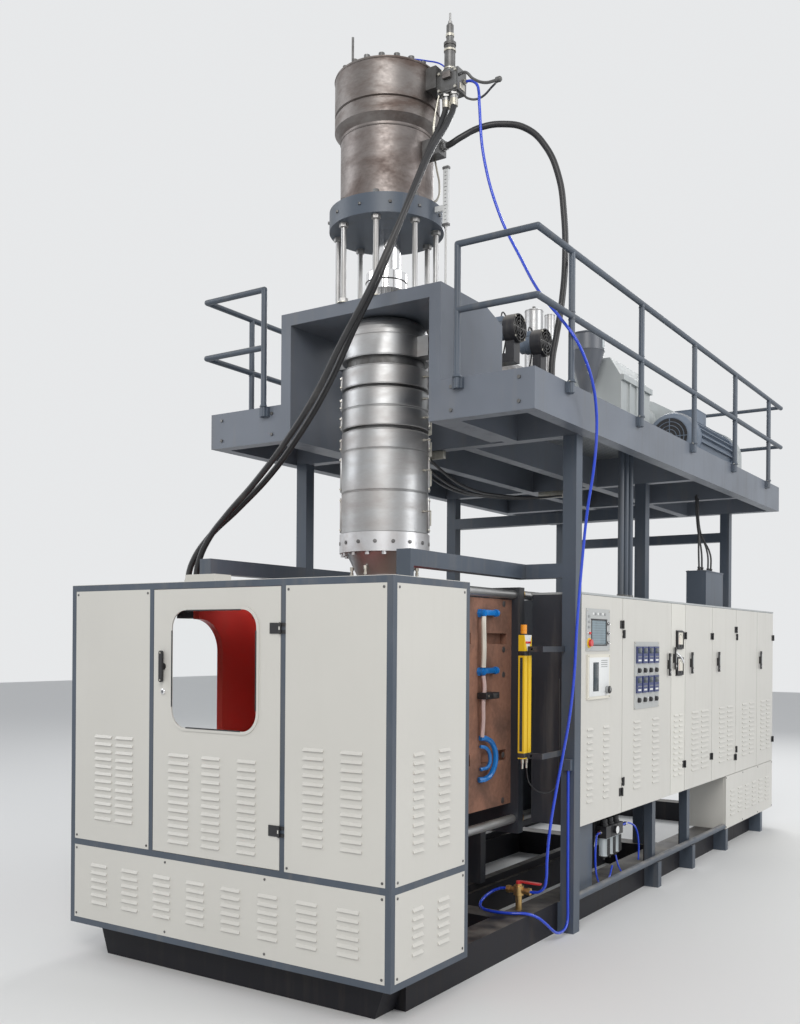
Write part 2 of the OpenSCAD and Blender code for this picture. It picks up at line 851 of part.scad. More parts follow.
module railing_side() {
    foot = platform_top - 60;
    end_y = platform_rear - 40;
    union() {
        for (y = post_ys)
            translate([rail_x, y, foot])
                cylinder(d = rail_d, h = rail_top_z - foot);
        translate([front_post_x, rail_corner_y, foot])
            cylinder(d = rail_d, h = rail_top_z - foot);
        for (z = [rail_top_z, rail_mid_z]) {
            translate([rail_x, rail_corner_y, z])
                rotate([-90, 0, 0])
                    cylinder(d = rail_d, h = end_y - rail_corner_y);
            translate([front_post_x, rail_corner_y, z])
                rotate([0, 90, 0])
                    cylinder(d = rail_d, h = rail_x - front_post_x);
            translate([rail_x, rail_corner_y, z])
                sphere(d = rail_d);
        }
        translate([front_post_x, rail_corner_y, rail_top_z])
            sphere(d = rail_d);
        for (y = post_ys)
            translate([platform_half, y - 30, foot])
                cube([4 + rail_d / 2, 60, 55]);
        translate([front_post_x - 30, rail_corner_y, foot])
            cube([60, 4 + rail_d / 2, 55]);
    }
}

module railings() {
    color(enamel_dark) {
        railing_side();
        mirror([1, 0, 0])
            railing_side();
        for (z = [rail_top_z, rail_mid_z])
            translate([-rail_x, platform_rear - 40 - rail_d, z])
                rotate([0, 90, 0])
                    cylinder(d = rail_d - 4, h = 2 * rail_x);
    }
}

// Portal over the head

portal_out = 534;
portal_back = 394;
portal_hole = 70;

module portal_frame() {
    color(enamel_dark)
        difference() {
            union() {
                for (s = [-1, 1])
                    translate([s > 0 ? portal_out - portal_t : -portal_out, 0, 0])
                        rotate([90, 0, 90])
                            linear_extrude(portal_t)
                                polygon([[-platform_front, platform_z], [portal_back, platform_z],
                                         [portal_back, portal_top - 60], [portal_back - 190, portal_top],
                                         [-platform_front, portal_top]]);
                translate([-portal_out, -platform_front, portal_top - portal_t])
                    cube([2 * portal_out, platform_front + portal_back - 190, portal_t]);
            }
            translate([0, 0, portal_top - portal_t - 1])
                cylinder(d = portal_hole, h = portal_t + 2);
        }
}

// Accumulator head, hanging from the portal

inlet_z = extruder_z - 135;

module head_body() {
    color(steel_brown)
        difference() {
            union() {
                rotate_extrude()
                    polygon(concat(
                        [[0, flange_z + flange_t], [head_d / 2, flange_z + flange_t], [head_d / 2, top_band[1]]],
                        [for (a = [10:10:70]) [head_d / 2 - 70 * (1 - cos(a)), top_band[1] + 85 * sin(a)]],
                        [[150, head_top], [0, head_top]]));
                head_lugs(0);
            }
            translate([0, 0, flange_z + flange_t - 1])
                cylinder(d = head_bore, h = inlet_z + 31 - flange_z - flange_t);
            translate([0, 0, inlet_z])
                cylinder(d = portal_hole, h = head_top - inlet_z + 1);
        }
}

// Lower and upper edges of the heater bands, over the flange
band_edges = [[0, 228], [230, 456], [458, 564], [583, 689], [691, 791], [808, 916]];

top_band = [inlet_z - 59, inlet_z + 63];
cover_t = 3;

// Lugs at the sides and the melt inlet at the back, which stand out through the upper covers
module head_lugs(grow) {
    for (s = [-1, 1])
        translate([s * (head_d / 2 + 30) - 60 - grow, -45 - grow, inlet_z - 55 - grow])
            cube([120 + 2 * grow, 90 + 2 * grow, 110 + 2 * grow]);
    translate([-75 - grow, 0, inlet_z - 60 - grow])
        cube([150 + 2 * grow, 330, 120 + 2 * grow]);
}

module head_heaters() {
    color(steel_bright)
        difference() {
            union() {
                translate([0, 0, top_band[0]])
                    difference() {
                        cylinder(d = heater_d, h = top_band[1] - top_band[0], $fn = 96);
                        translate([0, 0, -1])
                            cylinder(d = head_d + 2 * panel_gap, h = top_band[1] - top_band[0] + 2, $fn = 96);
                    }
                rotate_extrude($fn = 96)
                    polygon(concat(
                        [[heater_d / 2 - cover_t, top_band[1] - 1]],
                        [for (a = [0:12:72]) [heater_d / 2 - 75 * (1 - cos(a)), top_band[1] + 100 * sin(a)]],
                        [for (a = [72:-12:0]) [heater_d / 2 - cover_t - 75 * (1 - cos(a)),
                                               top_band[1] + (100 - cover_t) * sin(a)]]));
            }
            head_lugs(panel_gap);
        }
    color(steel_bright)
        for (b = band_edges)
            translate([0, 0, flange_z + flange_t + b[0]])
                difference() {
                    cylinder(d = heater_d, h = b[1] - b[0], $fn = 96);
                    translate([0, 0, -1])
                        cylinder(d = head_d + 2 * panel_gap, h = b[1] - b[0] + 2, $fn = 96);
                }
}

flange_bolts = 16;
cap_bolts = 20;

module die_flange() {
    color([0.35, 0.33, 0.32]) {
        rotate_extrude()
            polygon([[60, die_z], [170, die_z], [170, die_z + 50], [150, die_z + 60], [215, flange_z],
                     [flange_d / 2, flange_z], [flange_d / 2, flange_z + flange_t], [150, flange_z + flange_t],
                     [150, flange_z + 30], [90, flange_z - 60]]);
        for (i = [0:flange_bolts - 1])
            rotate([0, 0, (i + 0.5) * 360 / flange_bolts])
                translate([flange_d / 2 - 19, 0, flange_z - 18])
                    cylinder(d = 26, h = 18, $fn = 6);
    }
}

module die_core() {
    color(steel_bright)
        rotate_extrude()
            polygon([[0, die_z - 8], [52, die_z - 8], [52, die_z + 20], [70, flange_z - 20],
                     [core_rod_d / 2, flange_z + 60], [core_rod_d / 2, cap_top - 60], [0, cap_top - 60]]);
}

module tie_rods() {
    color(steel_bright)
        for (i = [0:tie_count - 1])
            rotate([0, 0, (i + 0.5) * 360 / tie_count])
                translate([tie_pcd / 2, 0, portal_top])
                    cylinder(d = tie_d, h = upper_z - portal_top);
    color(black_paint)
        for (i = [0:tie_count - 1])
            rotate([0, 0, (i + 0.5) * 360 / tie_count])
                translate([tie_pcd / 2 + 4, 0, upper_top])
                    cylinder(d = tie_d + 6, h = 26, $fn = 6);
    color(enamel_dark)
        translate([0, 0, upper_z])
            difference() {
                cylinder(d = 2 * (tie_pcd / 2 + 42), h = upper_t);
                translate([0, 0, -1])
                    cylinder(d = ram_d + 2 * fit_gap, h = upper_t + 2);
            }
}

module push_cylinder() {
    color(steel_brown)
        translate([0, 0, upper_top])
            difference() {
                cylinder(d = cylinder_d, h = cylinder_len);
                translate([0, 0, -1])
                    cylinder(d = cylinder_bore, h = cylinder_len + 2);
            }
}

module cylinder_cap() {
    groove = 10;
    color(steel_brown)
        difference() {
            rotate_extrude()
                polygon([[0, cylinder_top], [cylinder_d / 2, cylinder_top], [cap_d / 2, cylinder_top + 40],
                         [cap_d / 2, cylinder_top + 110], [cap_d / 2 - groove, cylinder_top + 115],
                         [cap_d / 2 - groove, cylinder_top + 125], [cap_d / 2, cylinder_top + 130],
                         [cap_d / 2, cap_top], [0, cap_top]]);
            translate([0, 0, cylinder_top - 1])
                cylinder(d = core_rod_d + 2, h = cap_h - 20);
        }
    color(black_paint)
        for (i = [0:cap_bolts - 1])
            rotate([0, 0, (i + 0.5) * 360 / cap_bolts])
                translate([cap_d / 2 - 32, 0, cap_top])
                    cylinder(d = 34, h = 26, $fn = 16);
}

module push_ram() {
    ring_z = upper_z - ram_stroke - 132;
    piston_z = ring_z - 675;
    color(steel_bright)
        difference() {
            union() {
                translate([0, 0, ring_z])
                    cylinder(d = ram_d, h = upper_top - ring_z + 60);
                translate([0, 0, ring_z])
                    cylinder(d = 230, h = 100);
                translate([0, 0, piston_z])
                    cylinder(d = portal_hole - 6, h = ring_z - piston_z);
                translate([0, 0, piston_z])
                    cylinder(d = head_bore - 2 * fit_gap, h = 120);
                translate([0, 0, upper_top + 30])
                    cylinder(d = cylinder_bore - 2 * fit_gap, h = 60);
            }
            translate([0, 0, piston_z - 1])
                cylinder(d = core_rod_d + 2 * fit_gap, h = 2000);
        }
}

module position_scale() {
    color([0.85, 0.86, 0.86])
        translate([392 - 16, -8, upper_z - 34])
            cube([32, 16, 328]);
    color(steel_bright) {
        translate([392, 0, portal_top])
            cylinder(d = 12, h = upper_z - 34 - portal_top);
        translate([tie_pcd / 2 + 42, -8, upper_top - 56])
            cube([392 - 16 - tie_pcd / 2 - 42, 16, 30]);
    }
}

module valve_block() {
    mount_z = cylinder_top + 190;
    port_z = upper_top + 250;
    color([0.30, 0.30, 0.31]) {
        difference() {
            translate([cap_d / 2 - 20, -60, mount_z])
                cube([80, 120, 120]);
            cylinder(d = cap_d + 0.6, h = cap_top + 10);
        }
        translate([cap_d / 2 + 60, -45, mount_z - 40])
            cube([130, 90, 125]);
        translate([cap_d / 2 + 112, 0, mount_z + 85])
            rotate_extrude()
                polygon([[0, 0], [38, 0], [38, 14], [30, 14], [30, 150], [34, 150], [34, 166], [20, 172],
                         [20, 262], [14, 270], [0, 270]]);
        difference() {
            translate([cylinder_d / 2 - 20, -40, port_z])
                cube([124, 80, 90]);
            cylinder(d = cylinder_d + 0.6, h = cap_top);
        }
        translate([-247, 0, cap_top])
            cylinder(d = 14, h = 340);
    }
}

// Extruder

module extruder_barrel() {
    color([0.55, 0.53, 0.50])
        difference() {
            union() {
                translate([0, barrel_start, extruder_z])
                    rotate([-90, 0, 0])
                        cylinder(d = barrel_d, h = throat_y - barrel_start);
                translate([0, barrel_start, extruder_z])
                    rotate([-90, 0, 0])
                        cylinder(d = barrel_d + 90, h = 50);
                translate([-120, throat_y, extruder_z - 130])
                    cube([240, gearbox_y - throat_y, 260]);
            }
            translate([0, barrel_start + 60, extruder_z])
                rotate([-90, 0, 0])
                    cylinder(d = screw_d + 4 * fit_gap, h = gearbox_y - barrel_start);
            translate([0, (throat_y + gearbox_y) / 2, extruder_z])
                cylinder(d = 80, h = 200);
        }
    color([0.45, 0.44, 0.43])
        rotate([90, 0, 90])
            translate([0, 0, -60])
                linear_extrude(120)
                    polygon([[330, inlet_z - 55], [400, inlet_z - 55], [barrel_start, inlet_z],
                             [barrel_start, extruder_z + 60], [370, extruder_z + 60], [330, inlet_z + 55]]);
    color(enamel_dark)
        translate([-90, cover_end + 50, platform_top])
            difference() {
                cube([180, 60, extruder_z - platform_top]);
                translate([90, -1, extruder_z - platform_top])
                    rotate([-90, 0, 0])
                        cylinder(d = barrel_d, h = 62);
            }
}

module extruder_screw() {
    turns_pitch = 90;
    length = gearbox_y - barrel_start - 60;
    color(steel_bright)
        translate([0, barrel_start + 62, extruder_z])
            rotate([-90, 0, 0])
                union() {
                    cylinder(d = screw_d * 0.62, h = length - 4);
                    for (i = [0:floor(length / turns_pitch) - 2])
                        translate([0, 0, 20 + i * turns_pitch])
                            cylinder(d = screw_d, h = 10);
                }
}

cover_start = 500;
cover_end = 2250;

module barrel_cover() {
    color(steel_bright)
        translate([0, cover_start, extruder_z])
            rotate([-90, 0, 0])
                difference() {
                    cylinder(d = cover_d, h = cover_end - cover_start);
                    translate([0, 0, sheet])
                        cylinder(d = cover_d - 2 * sheet, h = cover_end - cover_start - 2 * sheet);
                    translate([0, 0, -1])
                        cylinder(d = barrel_d + 1, h = cover_end);
                }
    color(steel_bright)
        for (v = [[1870, 129, 462], [2130, 75, 500]])
            translate([0, v[0], extruder_z + cover_d / 2 - 3])
                cylinder(d = v[1], h = v[2] + 3);
}

fan_x = 260;
fan_z = extruder_z + 215;
fan_ys = [990, 1370];
fan_d = 180;

module blower_housings() {
    color(black_paint)
        for (y = fan_ys)
            translate([fan_x, y, fan_z])
                difference() {
                    union() {
                        rotate([0, 90, 0])
                            cylinder(d = fan_d, h = 80);
                        translate([0, -40, -215])
                            cube([60, 80, 215]);
                        translate([-fan_x + 60, -40, -215])
                            cube([fan_x - 60, 80, 60]);
                    }
                    translate([8, 0, 0])
                        rotate([0, 90, 0])
                            cylinder(d = fan_d - 16, h = 80);
                    translate([-fan_x, 0, -fan_z + extruder_z])
                        rotate([90, 0, 0])
                            translate([0, 0, -60])
                                cylinder(d = cover_d, h = 120);
                }
}

module fan_wheel() {
    rotate([0, 90, 0])
        union() {
            cylinder(d = 40, h = 60);
            cylinder(d = 150, h = 6);
            for (i = [0:11])
                rotate([0, 0, i * 30])
                    translate([48, -2, 0])
                        cube([26, 4, 55]);
        }
}

module blower_fan(i) {
    color([0.2, 0.2, 0.21])
        translate([fan_x + 8.3, fan_ys[i], fan_z])
            fan_wheel();
}

module blower_fan_1() {
    blower_fan(0);
}

module blower_fan_2() {
    blower_fan(1);
}

hopper_y = (throat_y + gearbox_y) / 2;
hopper_r = 139;
hopper_base = extruder_z + 130;
hopper_top = hopper_base + 532;

lid_t = 4;
lid_r = hopper_r + 6;
lid_pin_r = 3;
lid_pin_out = hopper_r + 14;
lid_knuckle_r = 6;
lid_knuckle_w = 16;

module lid_pin_line(r, x, w) {
    translate([x, hopper_y + lid_pin_out, hopper_top + lid_t / 2])
        rotate([0, 90, 0])
            cylinder(r = r, h = w);
}

module hopper() {
    color([0.28, 0.30, 0.33]) {
        translate([0, hopper_y, 0])
            rotate_extrude()
                polygon([[40, hopper_base], [90, hopper_base], [90, hopper_base + 14], [44, hopper_base + 14],
                         [44, hopper_base + 80], [hopper_r, hopper_top - 130], [hopper_r, hopper_top],
                         [hopper_r - 3, hopper_top], [hopper_r - 3, hopper_top - 128],
                         [40, hopper_base + 81]]);
        for (x = [lid_knuckle_w / 2, -lid_knuckle_w * 3 / 2]) {
            lid_pin_line(lid_knuckle_r, x, lid_knuckle_w);
            translate([x, hopper_y + hopper_r - 3, hopper_top - 12])
                cube([lid_knuckle_w, lid_pin_out - hopper_r + 3, 10]);
        }
        lid_pin_line(lid_pin_r, -lid_knuckle_w * 3 / 2 - 1, 3 * lid_knuckle_w + 2);
    }
}

module hopper_lid() {
    tongue = lid_knuckle_w - 1;
    color([0.28, 0.30, 0.33])
        difference() {
            union() {
                translate([0, hopper_y, hopper_top])
                    cylinder(r = lid_r, h = lid_t);
                translate([-tongue / 2, hopper_y + lid_r - 5, hopper_top])
                    cube([tongue, lid_pin_out - lid_r + 5, lid_t]);
                lid_pin_line(lid_knuckle_r, -tongue / 2, tongue);
                translate([-40, hopper_y - 90, hopper_top + lid_t])
                    cube([80, 12, 18]);
            }
            lid_pin_line(lid_pin_r + fit_gap, -lid_knuckle_w, 2 * lid_knuckle_w);
        }
}

gearbox_len = 640;
gearbox_half = 225;
gearbox_h = 920;
shaft_len = 520;
guard_y = gearbox_y + gearbox_len + shaft_len;
motor_x = 600;
motor_y = 3020;
motor_z = platform_top + 250;
motor_r = 175;
fin_len = 25;

// Cast housing with sloped shoulders, split at the screw's height, with bearing bosses at both ends
module gearbox() {
    axis = extruder_z - platform_top;
    foot = gearbox_half + 35;
    shoulder = gearbox_h - 160;
    color([0.62, 0.64, 0.64]) {
        translate([0, gearbox_y, platform_top]) {
            translate([0, gearbox_len, 0])
                rotate([90, 0, 0])
                    linear_extrude(gearbox_len)
                        polygon([[-foot, 0], [foot, 0], [foot, 36], [gearbox_half, 52], [gearbox_half, shoulder],
                                 [130, gearbox_h], [-130, gearbox_h], [-gearbox_half, shoulder],
                                 [-gearbox_half, 52], [-foot, 36]]);
            for (z = [axis - 22, shoulder - 30])
                translate([-gearbox_half - 25, 0, z])
                    cube([2 * gearbox_half + 50, gearbox_len, 44]);
            for (y = [150, 300, 450], s = [-1, 1])
                translate([s * gearbox_half - 18, y, 40])
                    cube([36, 24, shoulder - 60]);
            for (x = [-60, 60])
                translate([x, gearbox_len / 2, gearbox_h - 20])
                    rotate_extrude()
                        polygon([[0, 0], [26, 0], [26, 30], [14, 34], [14, 60], [0, 60]]);
        }
        translate([0, gearbox_y + gearbox_len, platform_top + 640])
            rotate([-90, 0, 0])
                rotate_extrude()
                    polygon([[0, 0], [150, 0], [150, 40], [110, 60], [90, 80], [90, shaft_len], [0, shaft_len]]);
        translate([0, guard_y + 130, platform_top])
            rotate([90, 0, 0])
                linear_extrude(130)
                    difference() {
                        union() {
                            translate([0, 640])
                                circle(170);
                            translate([motor_x, motor_z - platform_top])
                                circle(210);
                            polygon([[-170, 0], [810, 0], [810, 250], [680, 444], [80, 790], [-170, 640]]);
                        }
                        translate([-1000, -500])
                            square([3000, 500]);
                    }
    }
}

module drive_motor() {
    color([0.35, 0.40, 0.45])
        translate([motor_x, 0, motor_z]) {
            translate([0, motor_y + 160, 0])
                rotate([-90, 0, 0])
                    linear_extrude(guard_y - motor_y - 220)
                        union() {
                            circle(motor_r);
                            for (i = [0:23])
                                rotate(i * 15 + 7.5)
                                    translate([motor_r - 5, -4])
                                        square([fin_len + 5, 8]);
                        }
            translate([0, motor_y, 0])
                rotate([-90, 0, 0])
                    rotate_extrude()
                        polygon([[0, 0], [150, 0], [185, 30], [200, 70], [200, 160], [0, 160]]);
            translate([0, guard_y - 60, 0])
                rotate([-90, 0, 0])
                    cylinder(r = 200, h = 60);
            for (s = [-1, 1])
                translate([s * 160 - 40, 3250, -250])
                    cube([80, 600, 140]);
            translate([-90, 3400, 160])
                cube([180, 240, 110]);
        }
}

// Clamp

rib_outer = bar_x - 48;
nut_d = 68;
nut_t = 36;
tail_y = 2050;
tail_t = 90;
arm_depth = 475;
waist_depth = 295;
waist_r = 170;

module tie_bar_holes(r) {
    for (x = [-bar_x, bar_x], z = [bar_low, bar_high])
        translate([x, 0, z])
            rotate([-90, 0, 0])
                translate([0, 0, -3000])
                    cylinder(r = r, h = 6000);
}

module platen_plate(t) {
    translate([-platen_half, 0, platen_low])
        cube([2 * platen_half, t, platen_high - platen_low]);
}

// Nuts of the tie bars, or the round recesses for them
module bar_nuts(y, t, sides) {
    for (x = [-bar_x, bar_x], z = [bar_low, bar_high])
        translate([x, y, z])
            rotate([-90, 0, 0])
                cylinder(d = nut_d + (sides > 6 ? 4 : 0), h = t, $fn = sides);
}

arm_top = min(mould_top - 10, cab_top - 42);
rib_t = 40;
rib_xs = [-rib_outer, -160, 120, rib_outer - rib_t];
platen_low = bar_low - 80;
upper_arm = 120;
lower_arm = 330;

// Side plate of the front platen: two arms with a curved waist between them
module arm_profile() {
    waist_low = platen_low + lower_arm;
    waist_high = arm_top - upper_arm;
    difference() {
        translate([0, platen_low])
            square([arm_depth, arm_top - platen_low]);
        for (z = [waist_low + waist_r, waist_high - waist_r])
            translate([waist_depth + waist_r, z])
                circle(waist_r);
        translate([waist_depth, waist_low + waist_r])
            square([arm_depth, waist_high - waist_low - 2 * waist_r]);
        translate([waist_depth + waist_r, waist_low])
            square([arm_depth, waist_high - waist_low]);
    }
}

// Side plate of the rear platen, with a round top
module rear_rib_profile() {
    depth = 420;
    top = platen_low + 700;
    union() {
        translate([0, platen_low])
            square([depth, top - platen_low]);
        translate([depth / 2, top])
            circle(depth / 2);
        translate([0, top])
            square([depth / 2, depth / 2]);
    }
}

module platen_feet(y, t) {
    for (s = [-1, 1])
        translate([s * rail_gauge - 60, y, base_h + clamp_rail_h + 0.3])
            cube([120, t, platen_low - base_h - clamp_rail_h]);
}

module front_platen() {
    y0 = -mould_t - platen_t;
    color(red_paint)
        difference() {
            union() {
                translate([0, y0, 0])
                    platen_plate(platen_t);
                for (x = rib_xs)
                    translate([x, y0, 0])
                        mirror([0, 1, 0])
                            rotate([90, 0, 90])
                                linear_extrude(rib_t)
                                    arm_profile();
                platen_feet(y0, platen_t);
            }
            tie_bar_holes(bar_d / 2);
            bar_nuts(y0 - 1, nut_t + 1, $fn);
        }
}

clamp_axis_z = (bar_low + bar_high) / 2;
clamp_rod_d = 110;

module rear_platen() {
    y0 = mould_t;
    color(black_paint)
        difference() {
            union() {
                translate([0, y0, 0])
                    platen_plate(platen_t);
                for (x = rib_xs)
                    translate([x, y0 + platen_t, 0])
                        rotate([90, 0, 90])
                            linear_extrude(rib_t)
                                rear_rib_profile();
                platen_feet(y0, platen_t);
                translate([0, y0 + platen_t, clamp_axis_z])
                    rotate([-90, 0, 0])
                        cylinder(d = clamp_rod_d, h = tail_y + tail_t + 100 - y0 - platen_t);
            }
            tie_bar_holes(bar_d / 2 + fit_gap);
        }
}

module mould_half_block() {
    difference() {
        translate([-mould_half, 0, mould_z])
            cube([2 * mould_half, mould_t, mould_h]);
        translate([0, 0, mould_z + 200])
            cylinder(r = 190, h = mould_h - 400);
        translate([0, 0, mould_z - 1])
            cylinder(r = 30, h = mould_h + 2);
        for (z = [mould_z + 250, mould_z + mould_h - 250])
            translate([mould_half - 40, 60, z])
                cube([41, mould_t - 120, 60]);
    }
}

module rear_mould() {
    color([0.42, 0.27, 0.20])
        mould_half_block();
}

module front_mould() {
    color([0.42, 0.27, 0.20])
        mirror([0, 1, 0])
            mould_half_block();
}

module tie_bars() {
    front = mould_t + platen_t;
    color(steel_bright)
        for (x = [-bar_x, bar_x], z = [bar_low, bar_high])
            translate([x, -front, z])
                rotate([-90, 0, 0])
                    cylinder(d = bar_d, h = tail_y + tail_t + front + nut_t + 12);
    color(black_paint)
        difference() {
            union() {
                bar_nuts(-front, nut_t, 6);
                bar_nuts(tail_y + tail_t, nut_t, 6);
            }
            tie_bar_holes(bar_d / 2);
        }
}

module clamp_cylinder() {
    color(enamel_dark)
        difference() {
            union() {
                translate([0, tail_y, 0])
                    platen_plate(tail_t);
                translate([0, tail_y + tail_t, clamp_axis_z])
                    rotate([-90, 0, 0])
                        cylinder(d = 230, h = clamp_stroke + 630);
                platen_feet(tail_y, tail_t);
            }
            translate([0, tail_y - 1, clamp_axis_z])
                rotate([-90, 0, 0])
                    cylinder(d = clamp_rod_d + 2 * fit_gap, h = tail_t + clamp_stroke + 610);
            tie_bar_holes(bar_d / 2);
        }
}

// Blow pin under the mould

module blow_pin_base() {
    color([0.4, 0.4, 0.42])
        difference() {
            union() {
                translate([-150, -70, base_h])
                    cube([300, 140, 30]);
                translate([-80, -60, base_h + 30])
                    cube([160, 120, 240]);
            }
            translate([0, 0, base_h + 20])
                cylinder(d = 50 + 2 * fit_gap, h = 300);
        }
}

module blow_pin() {
    color(steel_bright)
        union() {
            translate([0, 0, base_h + 180])
                cylinder(d = 50, h = mould_z - base_h - 182);
            translate([0, 0, mould_z - 30])
                cylinder(d = 90, h = 12);
        }
}

// Light curtain at the mould's side

module light_curtain() {
    x = column_x - 105;
    y = 120;
    color([0.9, 0.72, 0.1])
        for (dy = [0, 48])
            translate([x, y + dy - 18, 990])
                cube([36, 36, 560]);
    color([0.88, 0.88, 0.86])
        translate([x, y - 18, 1560])
            cube([36, 84, 80]);
    color([0.9, 0.5, 0.1])
        translate([x + 18, y + 8, 1640])
            cylinder(d = 34, h = 55);
    color([0.6, 0.6, 0.6]) {
        for (z = [1020, 1550])
            translate([x, y - 18, z - (z > 1500 ? 0 : 40)])
                cube([36, 84, 10]);
        for (z = [980, 1550])
            translate([x + 36, y + 20, z])
                cube([column_x - x - 36 + 20, 8, 30]);
        for (z = [980, 1550])
            translate([column_x + 12, y + 28, z])
                cube([8, column_y - y - 28, 30]);
    }
}

// Compressed air service unit under the first cabinets

module air_service_unit() {
    y0 = 1000;
    x = half_w - 120;
    color([0.25, 0.25, 0.27])
        for (i = [0:2])
            translate([x, y0 + i * 90, 430])
                cube([70, 84, 70]);
    color([0.75, 0.78, 0.8])
        for (i = [0:2])
            translate([x + 35, y0 + 42 + i * 90, 320])
                cylinder(d = 56, h = 110);
    color(enamel_dark)
        translate([x - 6, y0 - 20, 380])
            cube([6, 310, mid_z - 380]);
    color(blue_hose)
        translate([x + 35, y0 + 258, 465])
            rotate([-90, 0, 0])
                cylinder(d = 16, h = 120);
}

module valve_handle() {
    color(red_paint)
        translate([valve_x, valve_y, base_h + 140.3])
            union() {
                cylinder(d = 30, h = 14);
                translate([0, -12, 8])
                    cube([130, 24, 8]);
            }
}

// Hoses. Each route starts in its fitting's face.

pressure_route = [
    [400, -20, 4575], [400, -20, 4520], [406, -80, 4400], [412, -200, 4220], [396, -310, 4000],
    [344, -385, 3770], [255, -437, 3500], [120, -475, 3230], [-20, -500, 2960], [-190, -520, 2720],
    [-380, -550, 2500], [-570, -600, 2320], [-730, -655, 2170], [-815, -690, 2040], [-840, -700, 1950],
    [-840, -700, 1874]
];
return_route = [
    [450, -20, 4575], [450, -20, 4520], [460, -100, 4385], [462, -260, 4180], [440, -385, 3940],
    [372, -478, 3670], [258, -530, 3400], [108, -560, 3150], [-46, -590, 2880], [-226, -612, 2650],
    [-416, -640, 2445], [-590, -668, 2280], [-705, -688, 2150], [-765, -698, 2030], [-780, -700, 1945],
    [-780, -700, 1874]
];
side_route = [
    [367, 0, 4311], [400, 0, 4311], [470, 20, 4345], [560, 80, 4400], [670, 130, 4410],
    [790, 165, 4370], [900, 185, 4250], [970, 198, 4080], [1000, 202, 3880], [1010, 200, 3640],
    [1000, 188, 3420], [978, 165, 3220], [963, 152, 3100], [960, 150, 3010], [960, 150, 2953]
];
air_route = [
    [487.5, 20, 4640], [505, 20, 4640], [542, 20, 4630], [570, 20, 4602], [580, 20, 4565],
    [584, 20, 4500], [610, 30, 4200], [680, 80, 3900], [800, 90, 3650], [920, 80, 3440],
    [1055, 66, 3270], [1135, 80, 3150], [1166, 130, 3050], [1170, 200, 2960], [1160, 270, 2860],
    [1140, 330, 2720], [1110, 365, 2540], [1065, 388, 2320], [1035, 392, 2050], [1022, 362, 1720],
    [1018, 330, 1400], [1008, 300, 1200], [985, 275, 1010], [962, 235, 800], [951, 185, 600],
    [950, 156, 450], [950, 145, 340], [940.6, 145, 305], [915, 145, 279.4], [880, 145, 270],
    [850, 145, 270]
];
floor_route = [
    [730, 145, 270], [705, 145, 270], [668, 138, 262], [630, 116, 240], [609, 78, 212],
    [615, 35, 190], [650, 2, 181], [705, -12, 178], [770, -10, 178], [835, 8, 180], [888, 44, 178],
    [925, 90, 156], [948, 140, 118], [960, 190, 78], [965, 240, 48], [964, 290, 36], [962, 335, 35],
    [961, 370, 44], [960, 396, 70], [959, 405, 105], [958, 406, 160], [957, 406, 300], [956, 406, 600],
    [955, 406, 840], [955, 406, 900]
];

function unit(v) = v / norm(v);
function route_dir(path, i) =
    unit(path[min(i + 1, len(path) - 1)] - path[max(i - 1, 0)]);
function ring(centre, dir, r, sides) =
    let (ref = abs(dir[2]) > 0.95 ? [1, 0, 0] : [0, 0, 1], a = unit(cross(dir, ref)), b = cross(dir, a))
    [for (k = [0:sides - 1]) centre + r * (a * cos(k * 360 / sides) + b * sin(k * 360 / sides))];

module swept_tube(path, d, sides) {
    n = len(path);
    points = [for (i = [0:n - 1]) each ring(path[i], route_dir(path, i), d / 2, sides)];
    walls = [for (i = [0:n - 2], k = [0:sides - 1])
        [i * sides + k, (i + 1) * sides + k, (i + 1) * sides + (k + 1) % sides, i * sides + (k + 1) % sides]];
    polyhedron(points, concat([[for (k = [0:sides - 1]) k]], walls,
                              [[for (k = [0:sides - 1]) n * sides - 1 - k]]));
}

hose_d = 34;
air_hose_d = 16;

module pressure_hose() {
    color(black_paint)
        swept_tube(pressure_route, hose_d, 8);
}

module return_hose() {
    color(black_paint)
        swept_tube(return_route, hose_d, 8);
}

module side_hose() {
    color(black_paint)
        swept_tube(side_route, hose_d, 8);
}

module air_hose() {
    color(blue_hose)
        swept_tube(air_route, air_hose_d, 8);
}

module floor_hose() {
    color(blue_hose)
        swept_tube(floor_route, air_hose_d, 8);
}

function shown(n) = node == "all" || node == n;

if (shown("base_frame")) base_frame();
if (shown("platform_columns")) platform_columns();
if (shown("guard_frame")) guard_frame();
if (shown("guard_panels")) guard_panels();
if (shown("guard_door")) guard_door();
if (shown("guard_window")) guard_window();
if (shown("guard_door_handle")) guard_door_handle();
if (shown("hinges")) hinges();
if (shown("control_carcass")) control_carcass();
if (shown("lower_cabinet")) lower_cabinet();
if (shown("control_door_1")) control_door_1();
if (shown("control_door_2")) control_door_2();
if (shown("control_door_3")) control_door_3();
if (shown("control_door_4")) control_door_4();
if (shown("control_door_5")) control_door_5();
if (shown("control_door_6")) control_door_6();
if (shown("control_door_7")) control_door_7();
if (shown("operator_panels")) operator_panels();
if (shown("emergency_stop")) emergency_stop();
if (shown("heat_controllers")) heat_controllers();
if (shown("platform_frame")) platform_frame();
if (shown("platform_deck")) platform_deck();
if (shown("railings")) railings();
if (shown("portal_frame")) portal_frame();
if (shown("head_body")) head_body();
if (shown("head_heaters")) head_heaters();
if (shown("die_flange")) die_flange();
if (shown("die_core")) die_core();
if (shown("tie_rods")) tie_rods();
if (shown("push_cylinder")) push_cylinder();
if (shown("cylinder_cap")) cylinder_cap();
if (shown("push_ram")) push_ram();
if (shown("position_scale")) position_scale();
if (shown("valve_block")) valve_block();
if (shown("extruder_barrel")) extruder_barrel();
if (shown("extruder_screw")) extruder_screw();
